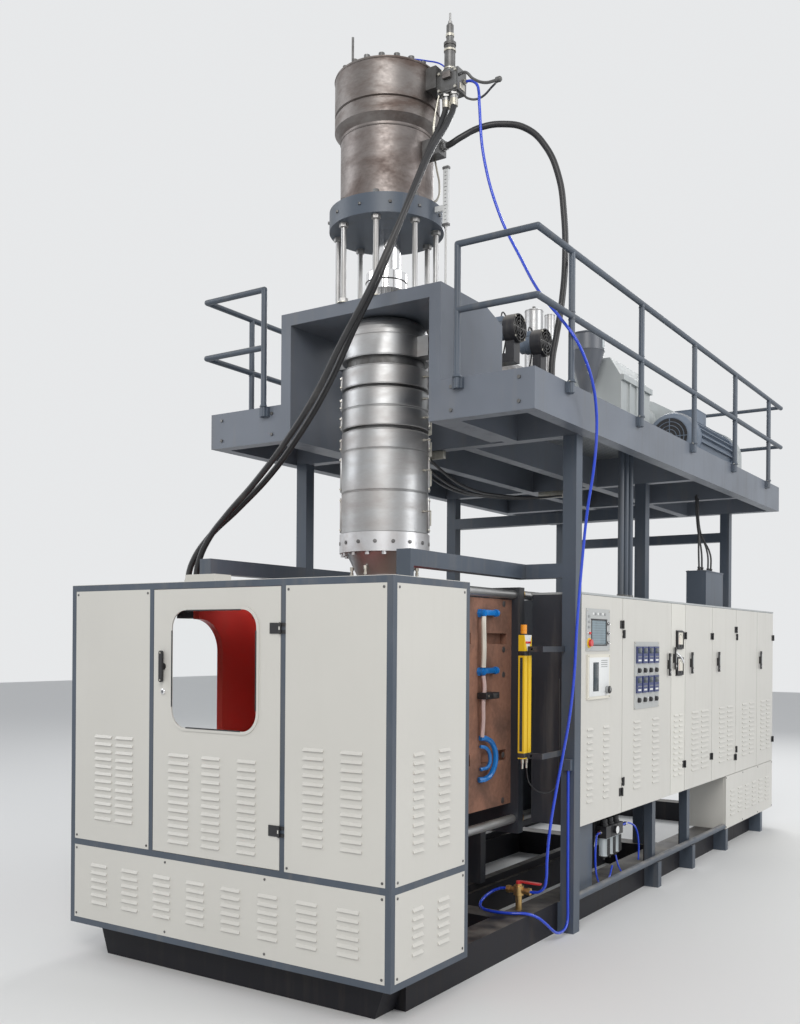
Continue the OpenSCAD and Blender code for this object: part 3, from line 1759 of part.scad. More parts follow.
if (shown("barrel_cover")) barrel_cover();
if (shown("blower_housings")) blower_housings();
if (shown("blower_fan_1")) blower_fan_1();
if (shown("blower_fan_2")) blower_fan_2();
if (shown("hopper")) hopper();
if (shown("hopper_lid")) hopper_lid();
if (shown("gearbox")) gearbox();
if (shown("drive_motor")) drive_motor();
if (shown("front_platen")) front_platen();
if (shown("rear_platen")) rear_platen();
if (shown("front_mould")) front_mould();
if (shown("rear_mould")) rear_mould();
if (shown("tie_bars")) tie_bars();
if (shown("clamp_cylinder")) clamp_cylinder();
if (shown("blow_pin_base")) blow_pin_base();
if (shown("blow_pin")) blow_pin();
if (shown("light_curtain")) light_curtain();
if (shown("air_service_unit")) air_service_unit();
if (shown("valve_handle")) valve_handle();
if (shown("pressure_hose")) pressure_hose();
if (shown("return_hose")) return_hose();
if (shown("side_hose")) side_hose();
if (shown("air_hose")) air_hose();
if (shown("floor_hose")) floor_hose();
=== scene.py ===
import itertools
import math

import bpy
from mathutils import Matrix, Vector


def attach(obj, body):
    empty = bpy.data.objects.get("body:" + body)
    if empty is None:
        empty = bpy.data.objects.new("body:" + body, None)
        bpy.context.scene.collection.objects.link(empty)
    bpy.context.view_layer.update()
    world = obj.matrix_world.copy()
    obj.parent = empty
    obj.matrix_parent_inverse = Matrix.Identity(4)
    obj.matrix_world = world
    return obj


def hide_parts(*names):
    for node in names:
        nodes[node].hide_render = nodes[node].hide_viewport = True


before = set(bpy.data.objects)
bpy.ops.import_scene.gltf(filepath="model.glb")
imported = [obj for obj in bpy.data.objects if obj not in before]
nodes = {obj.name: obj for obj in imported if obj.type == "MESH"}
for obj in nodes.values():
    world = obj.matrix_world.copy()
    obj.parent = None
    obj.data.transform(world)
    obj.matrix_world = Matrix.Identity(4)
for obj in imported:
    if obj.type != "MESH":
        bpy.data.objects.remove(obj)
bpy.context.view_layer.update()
scene = bpy.context.scene

# Camera

camera_data = bpy.data.cameras.new("camera")
camera_data.sensor_fit = "VERTICAL"
camera_data.sensor_height = 36
camera_data.sensor_width = 28.125
camera_data.lens = 36.94
camera_data.shift_y = 0.1266
camera_data.clip_end = 60
camera = bpy.data.objects.new("camera", camera_data)
scene.collection.objects.link(camera)
camera.matrix_world = (
    Matrix.Translation((3.369, -4.916, 1.600))
    @ Matrix.Rotation(math.radians(33.544), 4, "Z")
    @ Matrix.Rotation(math.radians(90), 4, "X")
    @ Matrix.Rotation(math.radians(0.4), 4, "Z")
)
scene.camera = camera

# Node groups that the finishes share


def new_group(name, inputs, outputs):
    group = bpy.data.node_groups.new(name, "ShaderNodeTree")
    kinds = {"value": "NodeSocketFloat", "colour": "NodeSocketColor", "vector": "NodeSocketVector"}
    for label, kind, value in inputs:
        socket = group.interface.new_socket(name=label, in_out="INPUT", socket_type=kinds[kind])
        socket.default_value = value
    for label, kind in outputs:
        group.interface.new_socket(name=label, in_out="OUTPUT", socket_type=kinds[kind])
    start = group.nodes.new("NodeGroupInput")
    end = group.nodes.new("NodeGroupOutput")
    return group, start, end


class Wiring:
    """Adds nodes to one tree and joins them."""

    def __init__(self, tree):
        self.tree = tree

    def put(self, kind, links=None, **settings):
        node = self.tree.nodes.new(kind)
        for key, value in settings.items():
            setattr(node, key, value)
        for key, source in (links or {}).items():
            if isinstance(source, bpy.types.NodeSocket):
                self.tree.links.new(source, node.inputs[key])
            else:
                node.inputs[key].default_value = source
        return node

    def link(self, source, target):
        self.tree.links.new(source, target)

    def noise(self, vector, scale, detail):
        return self.put("ShaderNodeTexNoise",
                        {"Vector": vector, "Scale": scale, "Detail": detail, "Roughness": 0.55})

    def stretch(self, vector, scale):
        return self.put("ShaderNodeMapping", {"Vector": vector, "Scale": scale}).outputs[0]

    def step(self, value, low, high, to_low=0.0, to_high=1.0):
        return self.put("ShaderNodeMapRange", {0: value, 1: low, 2: high, 3: to_low, 4: to_high}).outputs[0]

    def mix(self, amount, first, second):
        return self.put("ShaderNodeMix", {0: amount, 6: first, 7: second}, data_type="RGBA").outputs[2]

    def maths(self, operation, first, second=0.0):
        return self.put("ShaderNodeMath", {0: first, 1: second}, operation=operation).outputs[0]


BASE_INPUTS = [("Vector", "vector", (0, 0, 0)), ("Colour", "colour", (1, 1, 1, 1))]


def mottle_group():
    group, start, end = new_group(
        "uneven_coat",
        [*BASE_INPUTS, ("Dirt", "colour", (0.3, 0.27, 0.22, 1)), ("Dirt amount", "value", 0.2),
         ("Shade", "value", 0.06), ("Roughness", "value", 0.4)],
        [("Colour", "colour"), ("Roughness", "value"), ("Height", "value")])
    w = Wiring(group)
    broad = w.noise(start.outputs["Vector"], 1.7, 3.0)
    streaks = w.noise(w.stretch(start.outputs["Vector"], (9, 9, 0.8)), 1.6, 5.0)
    peel = w.noise(start.outputs["Vector"], 260, 2.0)
    tone = w.step(broad.outputs[0], 0.3, 0.7, 0.0, 1.0)
    darker = w.mix(w.maths("MULTIPLY", tone, start.outputs["Shade"]), start.outputs["Colour"], (0, 0, 0, 1))
    runs = w.step(streaks.outputs[0], 0.52, 0.78)
    soiled = w.mix(w.maths("MULTIPLY", runs, start.outputs["Dirt amount"]), darker, start.outputs["Dirt"])
    w.link(soiled, end.inputs["Colour"])
    w.link(w.maths("ADD", start.outputs["Roughness"], w.maths("MULTIPLY", runs, 0.18)),
           end.inputs["Roughness"])
    w.link(peel.outputs[0], end.inputs["Height"])
    return group


def settle_group():
    group, start, end = new_group(
        "settled_dust",
        [*BASE_INPUTS, ("Dust", "colour", (0.42, 0.39, 0.34, 1)), ("Amount", "value", 0.5),
         ("Roughness", "value", 0.4)],
        [("Colour", "colour"), ("Roughness", "value")])
    w = Wiring(group)
    face = w.put("ShaderNodeNewGeometry")
    split = w.put("ShaderNodeSeparateXYZ", {0: face.outputs["Normal"]})
    up = w.step(split.outputs[2], 0.35, 0.95)
    patch = w.step(w.noise(start.outputs["Vector"], 7, 5.0).outputs[0], 0.3, 0.62)
    amount = w.maths("MULTIPLY", w.maths("MULTIPLY", up, patch), start.outputs["Amount"])
    w.link(w.mix(amount, start.outputs["Colour"], start.outputs["Dust"]), end.inputs["Colour"])
    w.link(w.maths("ADD", start.outputs["Roughness"], w.maths("MULTIPLY", amount, 0.4)),
           end.inputs["Roughness"])
    return group


def grain_group():
    group, start, end = new_group(
        "worked_metal",
        [*BASE_INPUTS, ("Stain", "colour", (0.3, 0.2, 0.12, 1)), ("Stain amount", "value", 0.3),
         ("Stain scale", "value", 4.0), ("Grain", "value", 0.1), ("Roughness", "value", 0.3)],
        [("Colour", "colour"), ("Roughness", "value"), ("Height", "value")])
    w = Wiring(group)
    spots = w.put("ShaderNodeTexNoise",
                  {"Vector": start.outputs["Vector"], "Scale": start.outputs["Stain scale"], "Detail": 6.0,
                   "Roughness": 0.62, "Distortion": 0.4})
    mask = w.step(spots.outputs[0], 0.42, 0.68)
    lines = w.noise(start.outputs["Vector"], 40, 3.0)
    stained = w.mix(w.maths("MULTIPLY", mask, start.outputs["Stain amount"]), start.outputs["Colour"],
                    start.outputs["Stain"])
    shaded = w.mix(w.maths("MULTIPLY", lines.outputs[0], start.outputs["Grain"]), stained,
                   (0.02, 0.02, 0.02, 1))
    w.link(shaded, end.inputs["Colour"])
    rough = w.maths("ADD", start.outputs["Roughness"], w.maths("MULTIPLY", mask, 0.16))
    w.link(w.maths("ADD", rough, w.maths("MULTIPLY", lines.outputs[0], start.outputs["Grain"])),
           end.inputs["Roughness"])
    w.link(lines.outputs[0], end.inputs["Height"])
    return group


uneven_coat = mottle_group()
settled_dust = settle_group()
worked_metal = grain_group()


def new_finish(name):
    finish = bpy.data.materials.new(name)
    finish.use_nodes = True
    w = Wiring(finish.node_tree)
    shader = finish.node_tree.nodes["Principled BSDF"]
    place = w.put("ShaderNodeTexCoord").outputs["Object"]
    return finish, w, shader, place


def dress(w, shader, skin, height, strength, depth=0.001):
    """Joins a skin's colour and roughness, and the bump of a height, to the shader."""
    w.link(skin.outputs["Colour"], shader.inputs["Base Color"])
    w.link(skin.outputs["Roughness"], shader.inputs["Roughness"])
    bump = w.put("ShaderNodeBump", {"Strength": strength, "Distance": depth, "Height": height})
    w.link(bump.outputs[0], shader.inputs["Normal"])


def dusted(w, place, under, dust):
    """Settled dust over a coat or metal."""
    return w.put("ShaderNodeGroup", {"Vector": place, "Colour": under.outputs["Colour"], "Amount": dust,
                                     "Roughness": under.outputs["Roughness"]}, node_tree=settled_dust)


def coated(name, colour, rough=0.38, dirt=0.15, shade=0.08, dust=0.4, peel=0.06,
           dirt_colour=(0.26, 0.23, 0.19, 1), shine=0.5):
    """Paint or powder coat with faint runs of dirt and dust on what faces up."""
    finish, w, shader, place = new_finish(name)
    coat = w.put("ShaderNodeGroup", {"Vector": place, "Colour": (*colour, 1), "Dirt": dirt_colour,
                                     "Dirt amount": dirt, "Shade": shade, "Roughness": rough},
                 node_tree=uneven_coat)
    dress(w, shader, dusted(w, place, coat, dust), coat.outputs["Height"], peel)
    shader.inputs["Specular IOR Level"].default_value = shine
    return finish


def metal(name, colour, rough=0.3, stain=(0.3, 0.2, 0.12), amount=0.3, scale=4.0, grain=0.1,
          stretch=(1, 1, 1), bump_strength=0.08, dust=0.2, metallic=1.0):
    """Bare steel with machining lines, drawn out along one axis, and stains."""
    finish, w, shader, place = new_finish(name)
    worked = w.put("ShaderNodeGroup", {"Vector": w.stretch(place, stretch), "Colour": (*colour, 1),
                                       "Stain": (*stain, 1), "Stain amount": amount, "Stain scale": scale,
                                       "Grain": grain, "Roughness": rough}, node_tree=worked_metal)
    dress(w, shader, dusted(w, place, worked, dust), worked.outputs["Height"], bump_strength)
    shader.inputs["Metallic"].default_value = metallic
    return finish


def moulded(name, colour, rough=0.45, shade=0.12, coat=0.0):
    """Plastic or rubber with a fine moulded skin."""
    finish, w, shader, place = new_finish(name)
    skin = w.put("ShaderNodeGroup", {"Vector": place, "Colour": (*colour, 1), "Dirt": (0.3, 0.28, 0.25, 1),
                                     "Dirt amount": 0.12, "Shade": shade, "Roughness": rough},
                 node_tree=uneven_coat)
    dress(w, shader, skin, skin.outputs["Height"], 0.1, 0.0006)
    shader.inputs["Coat Weight"].default_value = coat
    return finish


def glow(name, colour, dark, lines):
    """A dark display with rows that are lit faintly."""
    finish, w, shader, place = new_finish(name)
    rows = w.put("ShaderNodeTexWave", {"Vector": place, "Scale": 22.0, "Distortion": 0.0, "Detail": 0.0},
                 wave_type="BANDS", bands_direction="Z")
    mask = w.step(rows.outputs[1], 0.86, 0.93, 0.0, lines)
    shade = w.noise(place, 14, 2.0)
    base = w.mix(w.maths("MULTIPLY", shade.outputs[0], 0.5), (*dark, 1), (*colour, 1))
    w.link(w.mix(mask, base, (*colour, 1)), shader.inputs["Base Color"])
    shader.inputs["Roughness"].default_value = 0.12
    return finish


def clear_pane(name):
    """Clear plastic with a faint haze and wiping marks."""
    finish, w, shader, place = new_finish(name)
    wipes = w.noise(w.stretch(place, (3, 3, 14)), 5, 4.0)
    w.link(w.step(wipes.outputs[0], 0.4, 0.9, 0.0, 0.03), shader.inputs["Roughness"])
    shader.inputs["Base Color"].default_value = (0.97, 0.98, 0.98, 1)
    shader.inputs["IOR"].default_value = 1.05
    shader.inputs["Transmission Weight"].default_value = 1.0
    return finish


def tread_plate(name, colour):
    """Deck plate with raised diamonds, worn bright on their tops."""
    finish, w, shader, place = new_finish(name)
    coat = w.put("ShaderNodeGroup", {"Vector": place, "Colour": (*colour, 1), "Dirt amount": 0.5,
                                     "Shade": 0.2, "Dirt": (0.30, 0.27, 0.23, 1), "Roughness": 0.5},
                 node_tree=uneven_coat)
    slant = []
    for turn, shift in ((45, 0.0), (-45, 0.015)):
        tilt = w.put("ShaderNodeMapping", {"Vector": place, "Rotation": (0, 0, math.radians(turn)),
                                           "Location": (shift, 0, 0)})
        split = w.put("ShaderNodeSeparateXYZ", {0: tilt.outputs[0]})
        across = w.maths("PINGPONG", split.outputs[0], 0.021)
        along = w.maths("PINGPONG", split.outputs[1], 0.021)
        bar = w.maths("MULTIPLY", w.step(across, 0.004, 0.0065, 1.0, 0.0),
                      w.step(along, 0.012, 0.015, 1.0, 0.0))
        slant.append(bar)
    raised = w.maths("MAXIMUM", slant[0], slant[1])
    worn = w.mix(w.maths("MULTIPLY", raised, 0.35), coat.outputs["Colour"], (0.55, 0.55, 0.54, 1))
    w.link(worn, shader.inputs["Base Color"])
    w.link(coat.outputs["Roughness"], shader.inputs["Roughness"])
    shader.inputs["Metallic"].default_value = 0.5
    bump = w.put("ShaderNodeBump", {"Strength": 0.6, "Distance": 0.002, "Height": raised})
    w.link(bump.outputs[0], shader.inputs["Normal"])
    return finish


panel_enamel = coated("panel_enamel", (0.62, 0.605, 0.56), rough=0.36, dirt=0.02, shade=0.04, dust=0.2,
                      peel=0.04)
# Door three: the panel enamel made lighter as painted light on that one door
door_three_painted_light_enamel = coated("door_three_painted_light_enamel", (0.68, 0.665, 0.61), rough=0.36, dirt=0.02, shade=0.04,
                           dust=0.2)
frame_blue = coated("frame_blue", (0.075, 0.095, 0.125), rough=0.42, dirt=0.22, shade=0.25, dust=0.5)
beam_blue = coated("beam_blue", (0.155, 0.175, 0.21), rough=0.4, dirt=0.2, shade=0.25, dust=0.55)
roof_grey = coated("roof_grey", (0.42, 0.44, 0.44), rough=0.42, dirt=0.15, dust=0.4)
base_black = coated("base_black", (0.018, 0.018, 0.022), rough=0.5, dirt=0.2, shade=0.1, dust=0.3,
                    dirt_colour=(0.12, 0.10, 0.08, 1), shine=0.2)
# Platen red: red paint whose base colour is raised above the paint's own red as painted light, for the
# shade inside the guard
platen_red_painted_light = coated("platen_red_painted_light", (0.82, 0.07, 0.055), rough=0.35, dirt=0.12, shade=0.15, dust=0.3)
valve_red = coated("valve_red", (0.60, 0.03, 0.035), rough=0.3, dirt=0.1)
platen_black = coated("platen_black", (0.035, 0.04, 0.05), rough=0.4, dirt=0.25, shade=0.2, dust=0.5)
plate_grey = coated("plate_grey", (0.46, 0.47, 0.46), rough=0.35, dirt=0.08)
gear_grey = coated("gear_grey", (0.50, 0.53, 0.53), rough=0.42, dirt=0.2, dust=0.5)
motor_blue = coated("motor_blue", (0.16, 0.20, 0.26), rough=0.42, dirt=0.2, dust=0.5)
curtain_yellow = coated("curtain_yellow", (0.86, 0.55, 0.02), rough=0.3, dirt=0.08, dust=0.1)
blower_black = coated("blower_black", (0.025, 0.025, 0.03), rough=0.35, dirt=0.25, dust=0.5)
hopper_paint = coated("hopper_paint", (0.11, 0.12, 0.14), rough=0.35, dirt=0.2, dust=0.3)
deck_plate = tread_plate("deck_plate", (0.20, 0.22, 0.24))
heater_cover = metal("heater_cover", (0.43, 0.435, 0.44), rough=0.34, stain=(0.30, 0.25, 0.22), amount=0.4,
                     scale=2.2, grain=0.1, stretch=(1, 1, 3), bump_strength=0.05)
turned_brown = metal("turned_brown", (0.25, 0.225, 0.215), rough=0.3, stain=(0.10, 0.07, 0.06), amount=0.75,
                     scale=3.0, grain=0.25, stretch=(1, 1, 2.0), bump_strength=0.14)
cap_brown = metal("cap_brown", (0.24, 0.22, 0.21), rough=0.3, stain=(0.11, 0.075, 0.062), amount=0.8,
                  scale=4.0, grain=0.25, stretch=(1, 1, 2.5), bump_strength=0.14)
flange_bright = metal("flange_bright", (0.62, 0.62, 0.63), rough=0.3, stain=(0.30, 0.24, 0.20), amount=0.35,
                      scale=5.0, grain=0.1)
flange_steel = metal("flange_steel", (0.26, 0.24, 0.23), rough=0.36, stain=(0.08, 0.05, 0.04), amount=0.6,
                     scale=6.0, grain=0.3)
bright_bar = metal("bright_bar", (0.38, 0.38, 0.38), rough=0.38, stain=(0.36, 0.33, 0.3), amount=0.3,
                   scale=5.0, grain=0.06, stretch=(1, 1, 0.4), bump_strength=0.03)
bar_steel = metal("bar_steel", (0.66, 0.66, 0.65), rough=0.34, stain=(0.40, 0.38, 0.34), amount=0.3,
                  scale=5.0, grain=0.08, stretch=(1, 0.3, 1), bump_strength=0.03)
chromed = metal("chromed", (0.86, 0.86, 0.87), rough=0.06, stain=(0.55, 0.54, 0.52), amount=0.15, scale=5.0,
                grain=0.03, bump_strength=0.01, dust=0.05)
dark_steel = metal("dark_steel", (0.20, 0.20, 0.20), rough=0.36, stain=(0.06, 0.05, 0.04), amount=0.5,
                   scale=7.0, grain=0.2)
zinc = metal("zinc", (0.62, 0.60, 0.54), rough=0.3, stain=(0.38, 0.33, 0.22), amount=0.4, scale=30.0,
             grain=0.2)
copper_gap = metal("copper_gap", (0.56, 0.24, 0.13), rough=0.35, stain=(0.16, 0.06, 0.04), amount=0.7,
                   scale=9.0, grain=0.3)
mould_rust = metal("mould_rust", (0.38, 0.19, 0.125), rough=0.55, stain=(0.14, 0.085, 0.065), amount=0.85,
                   scale=3.2, grain=0.35, bump_strength=0.3, dust=0.3, metallic=0.35)
brass = metal("brass", (0.70, 0.48, 0.20), rough=0.28, stain=(0.30, 0.19, 0.08), amount=0.4, scale=20.0,
              grain=0.15)
black_plastic = moulded("black_plastic", (0.02, 0.02, 0.022), rough=0.42)
hose_rubber = moulded("hose_rubber", (0.018, 0.018, 0.02), rough=0.4, shade=0.2)
air_blue = moulded("air_blue", (0.012, 0.06, 0.62), rough=0.22, coat=0.4)
fitting_blue = moulded("fitting_blue", (0.01, 0.20, 0.60), rough=0.3, coat=0.3)
key_grey = moulded("key_grey", (0.32, 0.33, 0.33), rough=0.5)
module_blue = moulded("module_blue", (0.035, 0.05, 0.16), rough=0.35)
warm_white = moulded("warm_white", (0.74, 0.71, 0.62), rough=0.42)
cool_white = moulded("cool_white", (0.78, 0.79, 0.78), rough=0.4)
stop_red = moulded("stop_red", (0.66, 0.02, 0.02), rough=0.25, coat=0.5)
lamp_orange = moulded("lamp_orange", (0.88, 0.33, 0.02), rough=0.25, coat=0.4)
hose_pink = moulded("hose_pink", (0.66, 0.50, 0.47), rough=0.4)
bowl_clear = moulded("bowl_clear", (0.62, 0.68, 0.70), rough=0.1, coat=0.6)
screen_lit = glow("screen_lit", (0.30, 0.40, 0.45), (0.12, 0.16, 0.18), 0.35)
display_dark = glow("display_dark", (0.10, 0.14, 0.16), (0.015, 0.02, 0.025), 0.15)
window_pane = clear_pane("window_pane")

# Shaping


def deselect():
    bpy.ops.object.select_all(action="DESELECT")


def pick(part):
    deselect()
    part.select_set(True)
    bpy.context.view_layer.objects.active = part


def settle(part, finish):
    pick(part)
    bpy.ops.object.transform_apply(location=True, rotation=True, scale=True)
    part.data.materials.clear()
    part.data.materials.append(finish)
    return part


def chamfer(part, width):
    pick(part)
    edges = part.modifiers.new("edges", "BEVEL")
    edges.width = width
    edges.segments = 2
    edges.limit_method = "ANGLE"
    edges.angle_limit = math.radians(40)
    bpy.ops.object.modifier_apply(modifier=edges.name)
    return part


def once(model):
    """Models a shape at the origin on its first use, and gives a copy with its own mesh for each place."""
    patterns = {}

    def placed(place, *details):
        key = repr(details)
        if key not in patterns:
            pattern = model(*details)
            patterns[key] = pattern.data
            bpy.data.objects.remove(pattern)
        mesh = patterns[key].copy()
        mesh.transform(Matrix.Translation(place))
        part = bpy.data.objects.new(model.__name__, mesh)
        scene.collection.objects.link(part)
        return part

    return placed


@once
def block(size, finish, edge=0.002):
    """A machined or moulded block with broken edges."""
    deselect()
    bpy.ops.mesh.primitive_cube_add(size=1, location=(0, 0, 0))
    part = bpy.context.object
    part.scale = size
    settle(part, finish)
    return chamfer(part, edge) if edge else part


def sink_face(part, direction, border, depth):
    """Insets the face that looks along direction, and moves the inner face along it by depth."""
    way = Vector(direction)
    pick(part)
    mesh = part.data
    for thing in list(mesh.vertices) + list(mesh.edges) + list(mesh.polygons):
        thing.select = False
    facing = [p for p in mesh.polygons if p.normal.dot(way) > 0.99]
    top = max(facing, key=lambda p: p.area)
    top.select = True
    bpy.ops.object.mode_set(mode="EDIT")
    bpy.ops.mesh.select_mode(type="FACE")
    bpy.ops.mesh.inset(thickness=border, depth=0)
    bpy.ops.mesh.extrude_region_move(TRANSFORM_OT_translate={"value": way * depth})
    bpy.ops.object.mode_set(mode="OBJECT")
    return part


TURNS = {"x": (0, math.pi / 2, 0), "y": (-math.pi / 2, 0, 0), "z": (0, 0, 0)}
WAYS = {"x": Vector((1, 0, 0)), "y": Vector((0, 1, 0)), "z": Vector((0, 0, 1))}


@once
def turned(profile, axis, finish, sides):
    """A turned piece: (radius, distance) steps along axis."""
    deselect()
    radius, distance = profile[0]
    way = WAYS[axis]
    bpy.ops.mesh.primitive_circle_add(vertices=sides, radius=radius, fill_type="NGON",
                                      location=way * distance, rotation=TURNS[axis])
    part = bpy.context.object
    settle(part, finish)
    bpy.ops.object.mode_set(mode="EDIT")
    bpy.ops.mesh.select_all(action="SELECT")
    for next_radius, next_distance in profile[1:]:
        move = way * (next_distance - distance)
        bpy.ops.mesh.extrude_region_move(TRANSFORM_OT_translate={"value": move})
        factor = next_radius / radius
        if abs(factor - 1) > 1e-6:
            size = [1.0 if axis == letter else factor for letter in "xyz"]
            bpy.ops.transform.resize(value=size, center_override=way * next_distance)
        radius, distance = next_radius, next_distance
    bpy.ops.mesh.select_all(action="SELECT")
    bpy.ops.mesh.normals_make_consistent(inside=False)
    bpy.ops.object.mode_set(mode="OBJECT")
    return part


@once
def ring(radius, wire, axis, finish, turns, sides):
    """A round bead or band."""
    deselect()
    bpy.ops.mesh.primitive_torus_add(location=(0, 0, 0), rotation=TURNS[axis], major_radius=radius,
                                     minor_radius=wire, major_segments=turns, minor_segments=sides)
    return settle(bpy.context.object, finish)


def smooth_line(name, points, steps):
    """A curve that runs smoothly through the points."""
    curve = bpy.data.curves.new(name, "CURVE")
    curve.dimensions = "3D"
    curve.resolution_u = steps
    line = curve.splines.new("BEZIER")
    line.bezier_points.add(len(points) - 1)
    for knot, point in zip(line.bezier_points, points):
        knot.co = point
        knot.handle_left_type = "AUTO"
        knot.handle_right_type = "AUTO"
    made = bpy.data.objects.new(name, curve)
    scene.collection.objects.link(made)
    return made


def thicken(curve, diameter, resolution):
    """Gives a curve a round section with closed ends."""
    curve.bevel_depth = diameter / 2
    curve.bevel_resolution = resolution
    curve.use_fill_caps = True


def pipe(points, diameter, finish, sides=10):
    """A bent pipe or cable through the points."""
    part = smooth_line("pipe", points, 6)
    thicken(part.data, diameter, max(1, sides // 4 - 1))
    pick(part)
    bpy.ops.object.convert(target="MESH")
    return settle(bpy.context.object, finish)


def flat(parts):
    """The parts of a nested list, in order."""
    return [one for part in parts for one in (flat(part) if isinstance(part, list) else [part])]


def piece(name, body, parts):
    """Joins the parts, which can be nested lists, to one piece that rides on a body."""
    parts = flat(parts)
    deselect()
    for part in parts:
        part.select_set(True)
    bpy.context.view_layer.objects.active = parts[0]
    if len(parts) > 1:
        bpy.ops.object.join()
    made = bpy.context.view_layer.objects.active
    made.name = name
    made.data.name = name
    bpy.ops.object.shade_smooth_by_angle(angle=math.radians(35))
    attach(made, body)


# Hoses: their routes in millimetres, as in the part's source

HOSE_D = 0.034
AIR_D = 0.016

hose_routes = {
    "pressure_hose": [
        (400, -20, 4575), (400, -20, 4520), (406, -80, 4400), (412, -200, 4220), (396, -310, 4000),
        (344, -385, 3770), (255, -437, 3500), (120, -475, 3230), (-20, -500, 2960), (-190, -520, 2720),
        (-380, -550, 2500), (-570, -600, 2320), (-730, -655, 2170), (-815, -690, 2040),
        (-840, -700, 1950), (-840, -700, 1874)],
    "return_hose": [
        (450, -20, 4575), (450, -20, 4520), (460, -100, 4385), (462, -260, 4180), (440, -385, 3940),
        (372, -478, 3670), (258, -530, 3400), (108, -560, 3150), (-46, -590, 2880), (-226, -612, 2650),
        (-416, -640, 2445), (-590, -668, 2280), (-705, -688, 2150), (-765, -698, 2030),
        (-780, -700, 1945), (-780, -700, 1874)],
    "side_hose": [
        (367, 0, 4311), (400, 0, 4311), (470, 20, 4345), (560, 80, 4400), (670, 130, 4410),
        (790, 165, 4370), (900, 185, 4250), (970, 198, 4080), (1000, 202, 3880), (1010, 200, 3640),
        (1000, 188, 3420), (978, 165, 3220), (963, 152, 3100), (960, 150, 3010), (960, 150, 2953)],
    "air_hose": [
        (487.5, 20, 4640), (505, 20, 4640), (542, 20, 4630), (570, 20, 4602), (580, 20, 4565),
        (584, 20, 4500), (610, 30, 4200), (680, 80, 3900), (800, 90, 3650), (920, 80, 3440),
        (1055, 66, 3270), (1135, 80, 3150), (1166, 130, 3050), (1170, 200, 2960), (1160, 270, 2860),
        (1140, 330, 2720), (1110, 365, 2540), (1065, 388, 2320), (1035, 392, 2050), (1022, 362, 1720),
        (1018, 330, 1400), (1008, 300, 1200), (985, 275, 1010), (962, 235, 800), (951, 185, 600),
        (950, 156, 450), (950, 145, 340), (940.6, 145, 305), (915, 145, 279.4), (880, 145, 270),
        (850, 145, 270)],
    "floor_hose": [
        (730, 145, 270), (705, 145, 270), (668, 138, 262), (630, 116, 240), (609, 78, 212),
        (615, 35, 190), (650, 2, 181), (705, -12, 178), (770, -10, 178), (835, 8, 180), (888, 44, 178),
        (925, 90, 156), (948, 140, 118), (960, 190, 78), (965, 240, 48), (964, 290, 36), (962, 335, 35),
        (961, 370, 44), (960, 396, 70), (959, 405, 105), (958, 406, 160), (957, 406, 300),
        (956, 406, 600), (955, 406, 840), (955, 406, 900)],
}


def hose(name, diameter, finish):
    """A cord along its route, in place of the node of its name."""
    route = [Vector(point) / 1000 for point in hose_routes[name]]
    made = smooth_line(name + "_line", route, 10)
    seen = made.evaluated_get(bpy.context.evaluated_depsgraph_get()).to_mesh()
    made.to_mesh_clear()
    thicken(made.data, diameter, 4)
    made.data.materials.append(finish)
    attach(made, "machine")
    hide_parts(name)


for name in ("pressure_hose", "return_hose", "side_hose"):
    hose(name, HOSE_D, hose_rubber)
for name in ("air_hose", "floor_hose"):
    hose(name, AIR_D, air_blue)

# Finishes of the CAD nodes

finishes = {
    "base_frame": base_black, "platform_columns": frame_blue, "guard_frame": frame_blue,
    "guard_panels": panel_enamel, "guard_door": panel_enamel, "guard_window": window_pane,
    "guard_door_handle": black_plastic, "hinges": black_plastic, "control_carcass": frame_blue,
    "lower_cabinet": panel_enamel, "operator_panels": plate_grey, "emergency_stop": stop_red,
    "heat_controllers": plate_grey, "platform_frame": beam_blue, "platform_deck": deck_plate,
    "railings": frame_blue, "portal_frame": beam_blue, "head_body": copper_gap,
    "head_heaters": heater_cover, "die_flange": flange_bright, "die_core": chromed, "tie_rods": bright_bar,
    "push_cylinder": turned_brown, "cylinder_cap": cap_brown, "push_ram": chromed,
    "position_scale": cool_white, "valve_block": dark_steel, "extruder_barrel": dark_steel,
    "extruder_screw": bright_bar, "barrel_cover": heater_cover, "blower_housings": blower_black,
    "blower_fan_1": blower_black, "blower_fan_2": blower_black, "hopper": hopper_paint,
    "hopper_lid": hopper_paint, "gearbox": gear_grey, "drive_motor": motor_blue, "front_platen": platen_red_painted_light,
    "rear_platen": platen_black, "front_mould": mould_rust, "rear_mould": mould_rust, "tie_bars": bar_steel,
    "clamp_cylinder": platen_black, "blow_pin_base": dark_steel, "blow_pin": chromed,
    "light_curtain": curtain_yellow, "air_service_unit": black_plastic, "valve_handle": valve_red,
}
for number in range(1, 8):
    finishes[f"control_door_{number}"] = door_three_painted_light_enamel if number == 3 else panel_enamel
for name, finish in finishes.items():
    slots = nodes[name].data.materials
    if len(slots) == 0:
        slots.append(finish)
    for i in range(len(slots)):
        slots[i] = finish


def refinish(node, tests):
    """Gives the faces whose middle lies in a box another finish, tests = [(low, high, finish)]."""
    mesh = nodes[node].data
    for low, high, finish in tests:
        mesh.materials.append(finish)
        index = len(mesh.materials) - 1
        for face in mesh.polygons:
            middle = face.center
            if all(low[i] <= middle[i] <= high[i] for i in range(3)):
                face.material_index = index


